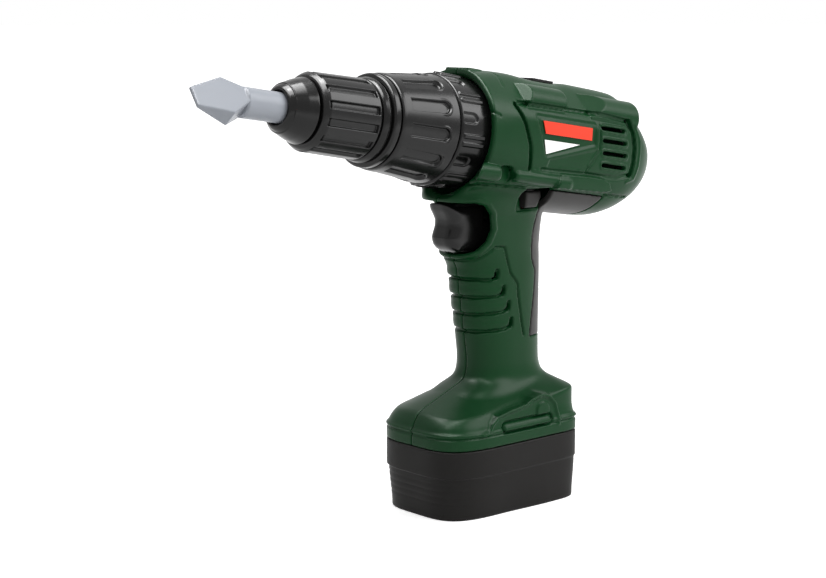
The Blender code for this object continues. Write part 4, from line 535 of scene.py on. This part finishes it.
def sleeveReach(s, a):
    curve = np.interp(s, (-87.1, -86.5, -84.9, -84.4, -60, -57.2, -56.1), (15.2, 16.0, 17.1, 17.3, 17.9, 17.9, 17.2))
    away = beat(a, sleeve["ribs"]) * 17.5 - sleeve["ribHalf"]
    run = ramp(s, -85.2, -84.6) * (1.0 - ramp(s, -58.2, -57.6))
    notch = 0.7 * (1.0 - ramp(np.abs(s + 84.0), 0.5, 0.9))
    return curve - (sleeve["depth"] + notch) * ramp(away, -0.1, 0.35) * run


chuckSleeve = turned("chuckSleeve", spread((-87.1, 8), (-85.6, 14), (-83.0, 40), (-58.6, 10), (-57.2, 6), (-56.1, 1)), 560,
                     sleeveReach, ((-56.1, 6.8), (-69.0, 6.8), (-69.0, 10.8), (-87.1, 10.8)), ringAbs)
give(chuckSleeve, "chuck", "black_abs", "chuck_sleeve")

collarCurve = np.array(((-55.8, 17.6), (-55.5, 18.0), (-54.9, 18.4), (-53.2, 19.0), (-52.8, 18.9), (-52.6, 18.2), (-51.9, 18.2), (-51.7, 20.1),
                        (-51.3, 20.7), (-50.8, 20.9), (-48.6, 20.9), (-48.2, 20.7), (-47.8, 20.2)))
chuckCollar = turned("chuckCollar", spread((-55.8, 10), (-53.2, 20), (-51.3, 8), (-48.6, 8), (-47.8, 1)), 200,
                     lambda s, a: np.interp(s, collarCurve[:, 0], collarCurve[:, 1]), ((-47.8, 6.8), (-55.8, 6.8)), blackAbs)
give(chuckCollar, "chuck", "black_abs", "chuck_collar")

ring = {"front": -47.5, "back": -16.5, "slots": 12, "slotHalf": 3.0, "slotStart": -42.5, "slotEnd": -21.5, "depth": 1.5}


def ringReach(s, a):
    curve = np.interp(s, (-47.5, -47.1, -46.0, -17.0, -16.5), (21.0, 21.4, 21.7, 24.8, 24.4))
    side = beat(a, ring["slots"], math.radians(6)) * curve
    endPast = np.maximum(s - (ring["slotEnd"] - ring["slotHalf"]), 0.0)
    away = np.maximum(np.hypot(side, endPast) - ring["slotHalf"], ring["slotStart"] - s)
    lip = 0.3 * np.exp(-((away - 0.55) / 0.35) ** 2) * ramp(s, -27.0, -23.0)
    return curve - ring["depth"] * (1.0 - ramp(away, -0.45, 0.1)) + lip


torqueRing = turned("torqueRing", spread((-47.5, 6), (-46.0, 6), (-43.0, 6), (-42.0, 30), (-26.0, 30), (-20.0, 8), (-17.0, 4), (-16.5, 1)), 600,
                    ringReach, ((-16.5, 19.5), (-47.5, 19.5)), ringAbs)
give(torqueRing, "torque_ring", "black_abs", "torque_ring")

cover = {"front": -16.2, "back": 8.0, "pairs": 8, "phase": math.radians(8)}


def coverReach(s, a):
    curve = np.interp(s, (-16.2, -15.8, -15.2, 8.0), (25.1, 25.5, 25.6, 25.6))
    run = ramp(s, -15.4, -14.6) * (1.0 - ramp(s, -2.6, -1.8))
    side = beat(a, cover["pairs"], cover["phase"]) * 25.6
    ridge = np.abs(side - 1.75)
    raised = 0.8 * (1.0 - ramp(ridge, 0.7, 1.15)) * run
    slot = beat(a, cover["pairs"], cover["phase"] + math.pi / cover["pairs"]) * 25.6
    away = np.hypot(slot, np.maximum(s + 9.0, 0.0)) - 2.5
    sunk = 0.9 * (1.0 - ramp(away, -0.4, 0.1)) * ramp(s, -15.4, -14.9)
    return curve + raised - sunk


coverBore = ((8.0, 22.8), (-11.2, 22.8), (-11.2, 9.4), (-16.2, 9.4), (-16.2, 16.3), (-41.0, 16.3), (-41.0, 9.4), (-46.0, 9.4), (-46.0, 19.1), (-16.21, 19.1))
gearboxCover = turned("gearboxCover", spread((-16.2, 10), (-14.4, 34), (-3.0, 12), (-1.2, 6), (8.0, 1)), 560, coverReach, coverBore, blackAbs)
give(gearboxCover, "housing", "black_abs", "gearbox_cover")


# ---- bit, trigger, selectors, battery case: small fields of their own
def fieldPiece(name, field, low, high, step, material, toWorld=None):
    x, y, z = gridOf(low, high, step)
    verts, faces = skinOf(field(x, y, z), low, step)
    if toWorld:
        verts = toWorld(verts)
    return meshOf(name, verts, faces, material)


bit = {
    "tip": -142.4, "waist": -127.8, "root": -118.2, "tipHalf": 5.1, "waistHalf": 9.8, "rootHalf": 3.2, "tipThick": 0.9, "rootThick": 6.6, "offset": 0.8,
    "bevel": 0.45, "turn": math.radians(-42.5), "shank": 6.6, "shankStart": -119.6, "shankEnd": -87.1, "drive": 4.5, "driveEnd": -76.1,
}


def bitField(s, y, h):
    # a wedge with six sides, the round shank and the square drive
    outline = [(bit[place], side * bit[place + "Half"]) for side, order in ((-1, 1), (1, -1))
               for place in ("tip", "waist", "root")[::order]]
    flat = areaDistance(s, h, outline)
    share = (s - bit["tip"]) / (bit["root"] - bit["tip"])
    side = np.abs(y - bit["offset"])
    face = (side - bit["tipThick"] - (bit["rootThick"] - bit["tipThick"]) * share) * 0.99
    plate = np.maximum(np.maximum(flat, face), (flat + face + bit["bevel"]) * 0.707)
    across = np.hypot(y, h)
    shank = np.maximum(across - bit["shank"], np.maximum(bit["shankStart"] - s, s - bit["shankEnd"]))
    shank = np.maximum(shank, (across - bit["shank"] + 0.8 + bit["shankStart"] - s) * 0.707)
    drive = np.maximum(np.maximum(np.abs(y), np.abs(h)) - bit["drive"], np.maximum(bit["shankEnd"] - 1.0 - s, s - bit["driveEnd"]))
    return np.minimum(np.minimum(plate, shank), drive)


def bitToWorld(verts):
    c, k = math.cos(bit["turn"]), math.sin(bit["turn"])
    return barrelPoints(verts[:, 0], verts[:, 1] * c - verts[:, 2] * k, verts[:, 1] * k + verts[:, 2] * c)


flatBit = fieldPiece("flatBit", bitField, (-145.0, -11.0, -11.0), (-75.0, 11.0, 11.0), 0.3, silverAbs, bitToWorld)
give(flatBit, "bit", "silver_abs", "flat_bit")

trigger = {
    # up the front: height, place
    "front": ((121.0, -19.0), (122.3, -22.0), (124.6, -24.3), (127.9, -25.4), (130.2, -24.6), (133.0, -23.4), (136.2, -23.2), (139.0, -24.7),
              (141.0, -26.0), (144.6, -27.2)),
    "half": 8.5, "round": 6.0, "low": 121.0, "top": 144.4, "shoulder": -2.0, "tail": 4.0, "tailTop": 136.0,
}
triggerTable = smoothTable(trigger["front"], 0.7)


def triggerField(x, y, z):
    back = np.minimum(x - trigger["shoulder"], np.maximum(x - trigger["tail"], z - trigger["tailTop"]))
    front = (look(triggerTable, 1, z) - x) * 0.9
    flat = meet(np.maximum(front, back), np.maximum(trigger["low"] - z, z - trigger["top"]), 0.8)
    return meet(np.broadcast_to(flat, np.broadcast(x, y, z).shape), np.abs(y) - trigger["half"], trigger["round"])


triggerPiece = fieldPiece("triggerLever", triggerField, (-29.0, -11.0, 119.0), (6.0, 11.0, 146.0), 0.35, blackAbs)
give(triggerPiece, "trigger", "black_abs", "trigger")


spring = {"coils": 5, "wire": 0.7, "sides": 8, "perTurn": 24, "travel": 5.0}
springLow, springHigh = (np.array(corner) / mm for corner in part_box("trigger_spring"))


def coilPiece(name, material):
    # round wire wound along x, with flat ends
    share = np.linspace(0.0, 1.0, spring["coils"] * spring["perTurn"] + 1)[:, None]
    turn = share * spring["coils"] * 2 * math.pi
    half = spring["wire"] / 2
    out = np.concatenate([0 * turn, np.cos(turn), np.sin(turn)], 1)
    centre = out * ((springHigh - springLow)[1] / 2 - half) + (springLow + springHigh) / 2
    centre[:, :1] = springLow[0] + half + (springHigh[0] - springLow[0] - 2 * half) * share
    forward = np.gradient(centre, axis=0)
    forward /= np.linalg.norm(forward, axis=1)[:, None]
    side = np.cross(forward, out)
    angle = np.linspace(0, 2 * math.pi, spring["sides"], endpoint=False)[None, :, None]
    verts = centre[:, None] + half * (np.cos(angle) * out[:, None] + np.sin(angle) * side[:, None])
    a = np.arange(len(share) - 1)[:, None] * spring["sides"] + np.arange(spring["sides"])[None, :]
    b = np.roll(a, -1, 1)
    faces = np.stack([a, b, b + spring["sides"], a + spring["sides"]], -1).reshape(-1, 4)
    cap = np.array(((0, 1, 2, 3), (0, 3, 4, 7), (4, 5, 6, 7)))
    faces = np.concatenate([faces, cap[:, ::-1], cap + (len(share) - 1) * spring["sides"]])
    return meshOf(name, verts.reshape(-1, 3), faces, material)


triggerSpring = coilPiece("triggerSpring", steel)
give(triggerSpring, "trigger", "steel", "trigger_spring")
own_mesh(triggerSpring)


def selectorField(x, y, z):
    flat = areaDistance(x, z, ((10.2, 141.2), (11.2, 148.8), (20.7, 148.8), (20.8, 145.6), (17.8, 141.2)))
    return meet(np.broadcast_to(flat, np.broadcast(x, y, z).shape), np.abs(y) - 20.5, 1.2)


directionSelector = fieldPiece("directionSelector", selectorField, (8.0, -22.0, 139.0), (23.0, 22.0, 151.0), 0.35, softRubber)
give(directionSelector, "direction_selector", "charcoal_rubber", "direction_selector")


def sliderField(s, y, h):
    # flat pad with cross ribs, on a stem
    ribs = 0.3 * np.cos((s - 49.0) * 2 * math.pi / 2.0) * (np.abs(s - 49.0) < 5.0) * (np.abs(y) < 6.5)
    pad = np.maximum(np.maximum(np.abs(s - 49.0) - 7.0, np.abs(y) - 8.0), np.maximum(29.1 - h, h - 30.6 - ribs))
    stem = np.maximum(np.maximum(np.abs(s - 49.0) - 3.0, np.abs(y) - 3.0), np.abs(h - 28.5) - 2.0)
    return np.minimum(pad, stem)


speedSelector = fieldPiece("speedSelector", sliderField, (40.0, -10.0, 25.5), (58.0, 10.0, 33.0), 0.3, blackAbs,
                           lambda v: barrelPoints(v[:, 0], v[:, 1], v[:, 2]))
give(speedSelector, "speed_selector", "black_abs", "speed_selector")


def caseField(x, y, z):
    inset = (0.9 * (1.0 - ramp(z, 19.8, 20.6)) + 1.3 * (1.0 - ramp(z, 1.0, 20.0))) * (1.0 - 0.5 * ramp(x, -10.0, 20.0))
    wall = baseOval(x, y, inset)
    lines = 0.25 * sum(np.exp(-((z - level) / 0.45) ** 2) for level in (8.0, 11.0, 14.0, 17.0)) * (x < -30.0)
    outer = meet(wall + lines, -z, 1.0)
    outer = meet(outer, z - 33.0, 0.6)
    tongue = np.maximum(baseOval(x, y, 2.5), np.maximum(20.0 - z, z - 37.0))
    outer = np.minimum(outer, tongue)
    room = np.maximum(baseOval(x, y, 4.9), 18.9 - z)
    outer = cut(outer, room)
    bay = np.maximum(np.maximum(np.abs(x) - 26.5, np.abs(y) - 22.05), z - 16.9)
    outer = cut(outer, bay)
    door = np.maximum(np.maximum(np.abs(x - 4.5) - 32.5, np.abs(y) - 23.55), z - 2.3)
    return cut(outer, door)


batteryCase = fieldPiece("batteryCase", caseField, (-45.0, -31.0, -2.0), (45.0, 31.0, 39.0), 0.55, caseAbs)
give(batteryCase, "housing", "black_abs", "battery_case")

# ---- sticker: a red bar over a white wedge, with no lettering
label = {"face": -28.9, "thick": 0.3, "bar": ((30.6, 10.2), (33.2, 4.4), (64.6, 4.4), (64.2, 10.2)), "wedge": ((32.8, 1.6), (56.6, 1.6), (34.7, -4.8))}


def stickerPiece(name, outline, material):
    verts, faces = [], []
    for level in (label["face"], label["face"] - label["thick"]):
        for s, h in outline:
            x, z = fromBarrel(s, h)
            verts.append((x * mm, level * mm, z * mm))
    n = len(outline)
    faces.append(list(range(n)))
    faces.append(list(range(2 * n - 1, n - 1, -1)))
    for i in range(n):
        j = (i + 1) % n
        faces.append([j, i, n + i, n + j])
    mesh = bpy.data.meshes.new(name)
    mesh.from_pydata(verts, [], faces)
    mesh.materials.append(material)
    piece = bpy.data.objects.new(name, mesh)
    bpy.context.scene.collection.objects.link(piece)
    return piece


redBar = stickerPiece("stickerBar", label["bar"], redPrint)
whiteWedge = stickerPiece("stickerWedge", label["wedge"], whitePrint)
for piece in (redBar, whiteWedge):
    give(piece, "housing", "red_sticker", "side_label")

# ---- CAD nodes that keep their shape
kept = {
    gearNylon: ("spindle", "output_gear", "front_bush", "back_bush", "idler_gear", "motor_pinion"),
    steel: ("idler_axle", "door_screw", "front_bridge", "front_terminal", "back_terminal", "back_bridge",
            "housing_screw_1", "housing_screw_2", "housing_screw_3", "housing_screw_4", "housing_screw_5", "housing_screw_6"),
    motorCan: ("motor",), cellWrap: ("cell_1", "cell_2", "cell_3"),
    leadVinyl: ("front_battery_lead", "back_battery_lead", "left_motor_lead", "right_motor_lead"),
    blackAbs: ("gearbox_plate", "switch_block"), caseAbs: ("battery_door",),
}
for material, names in kept.items():
    for name in names:
        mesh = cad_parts[name].data
        mesh.materials.clear()
        mesh.materials.append(material)
print("kept nodes painted")

# ---- floor, light and camera
view = {"aim": (-41.43, 0.0, 106.29), "distance": 800.0, "azimuth": math.radians(41.835), "elevation": math.radians(8.813), "focal": 1754.88, "pixels": 826}
scene = bpy.context.scene
scene.view_settings.view_transform = "Standard"

def flatSheet(name, half, level, material):
    mesh = bpy.data.meshes.new(name)
    mesh.from_pydata([(-half, -half, level), (half, -half, level), (half, half, level), (-half, half, level)], [], [(0, 1, 2, 3)])
    mesh.materials.append(material)
    sheet = bpy.data.objects.new(name, mesh)
    scene.collection.objects.link(sheet)
    return sheet


def seenRay(tree, path):
    # the background shows to the camera, in reflections and through clear pieces
    shown = path.outputs["Is Camera Ray"]
    for kind in ("Is Glossy Ray", "Is Transmission Ray"):
        either = addNode(tree, "ShaderNodeMath", [(shown, 0), (path.outputs[kind], 1)])
        either.operation = "MAXIMUM"
        shown = either.outputs[0]
    return shown


def sheetLook(name, white, lift):
    made = bpy.data.materials.new(name)
    made.use_nodes = True
    tree = made.node_tree
    tree.nodes.clear()
    path = addNode(tree, "ShaderNodeLightPath")
    paper = addNode(tree, "ShaderNodeBsdfDiffuse", Color=(white, white, white, 1))
    glow = addNode(tree, "ShaderNodeEmission", Strength=lift)
    seen = addNode(tree, "ShaderNodeAddShader", [(paper.outputs[0], 0), (glow.outputs[0], 1)])
    mix = addNode(tree, "ShaderNodeMixShader", [(seenRay(tree, path), 0), (paper.outputs[0], 1), (seen.outputs[0], 2)])
    addNode(tree, "ShaderNodeOutputMaterial", [(mix.outputs[0], "Surface")])
    return made


# a white sheet under the drill, on a wide backdrop that lights nothing
paperSheet = flatSheet("paperSheet", 0.5, 0.0, sheetLook("white_paper_sheet", 0.8, 0.6))
backdrop = flatSheet("backdrop", 40.0, -0.0005, sheetLook("white_backdrop", 0.8, 1.0))
backdrop.visible_diffuse = False

world = bpy.data.worlds.new("studio")
world.use_nodes = True
scene.world = world
tree = world.node_tree
tree.nodes.clear()
path = addNode(tree, "ShaderNodeLightPath")
soft = addNode(tree, "ShaderNodeBackground", Color=(1, 1, 1, 1), Strength=0.45)
plain = addNode(tree, "ShaderNodeBackground", Color=(1, 1, 1, 1), Strength=1.0)
mix = addNode(tree, "ShaderNodeMixShader", [(seenRay(tree, path), 0), (soft.outputs[0], 1), (plain.outputs[0], 2)])
addNode(tree, "ShaderNodeOutputWorld", [(mix.outputs[0], "Surface")])


def areaLight(name, place, aim, size, watts):
    data = bpy.data.lights.new(name, "AREA")
    data.shape = "RECTANGLE"
    data.size, data.size_y = size
    data.energy = watts
    lamp = bpy.data.objects.new(name, data)
    lamp.location = place
    lamp.rotation_euler = (Vector(aim) - Vector(place)).to_track_quat("-Z", "Y").to_euler()
    scene.collection.objects.link(lamp)
    return lamp


centre = (0.0, 0.0, 0.12)
areaLight("topSpot", (-0.2, 0.1, 1.25), centre, (0.22, 0.22), 5)
areaLight("sideSoftbox", (0.62, -0.78, 0.88), centre, (1.1, 0.7), 16)
mirror = areaLight("topReflector", (-0.25, 0.1, 1.2), centre, (1.0, 1.0), 60)
mirror.visible_diffuse = False
fill = areaLight("fillSoftbox", (-0.7, -1.2, 0.5), centre, (0.8, 0.8), 4)
fill.visible_glossy = False

camera = bpy.data.cameras.new("photoView")
camera.sensor_width = 36.0
camera.lens = 36.0 * view["focal"] / view["pixels"]
cameraObject = bpy.data.objects.new("photoView", camera)
scene.collection.objects.link(cameraObject)
forward = Vector((math.sin(view["azimuth"]) * math.cos(view["elevation"]), math.cos(view["azimuth"]) * math.cos(view["elevation"]), -math.sin(view["elevation"])))
aim = Vector(view["aim"]) * mm
cameraObject.location = aim - forward * view["distance"] * mm
cameraObject.rotation_euler = forward.to_track_quat("-Z", "Y").to_euler()
scene.camera = cameraObject
print("stage set")
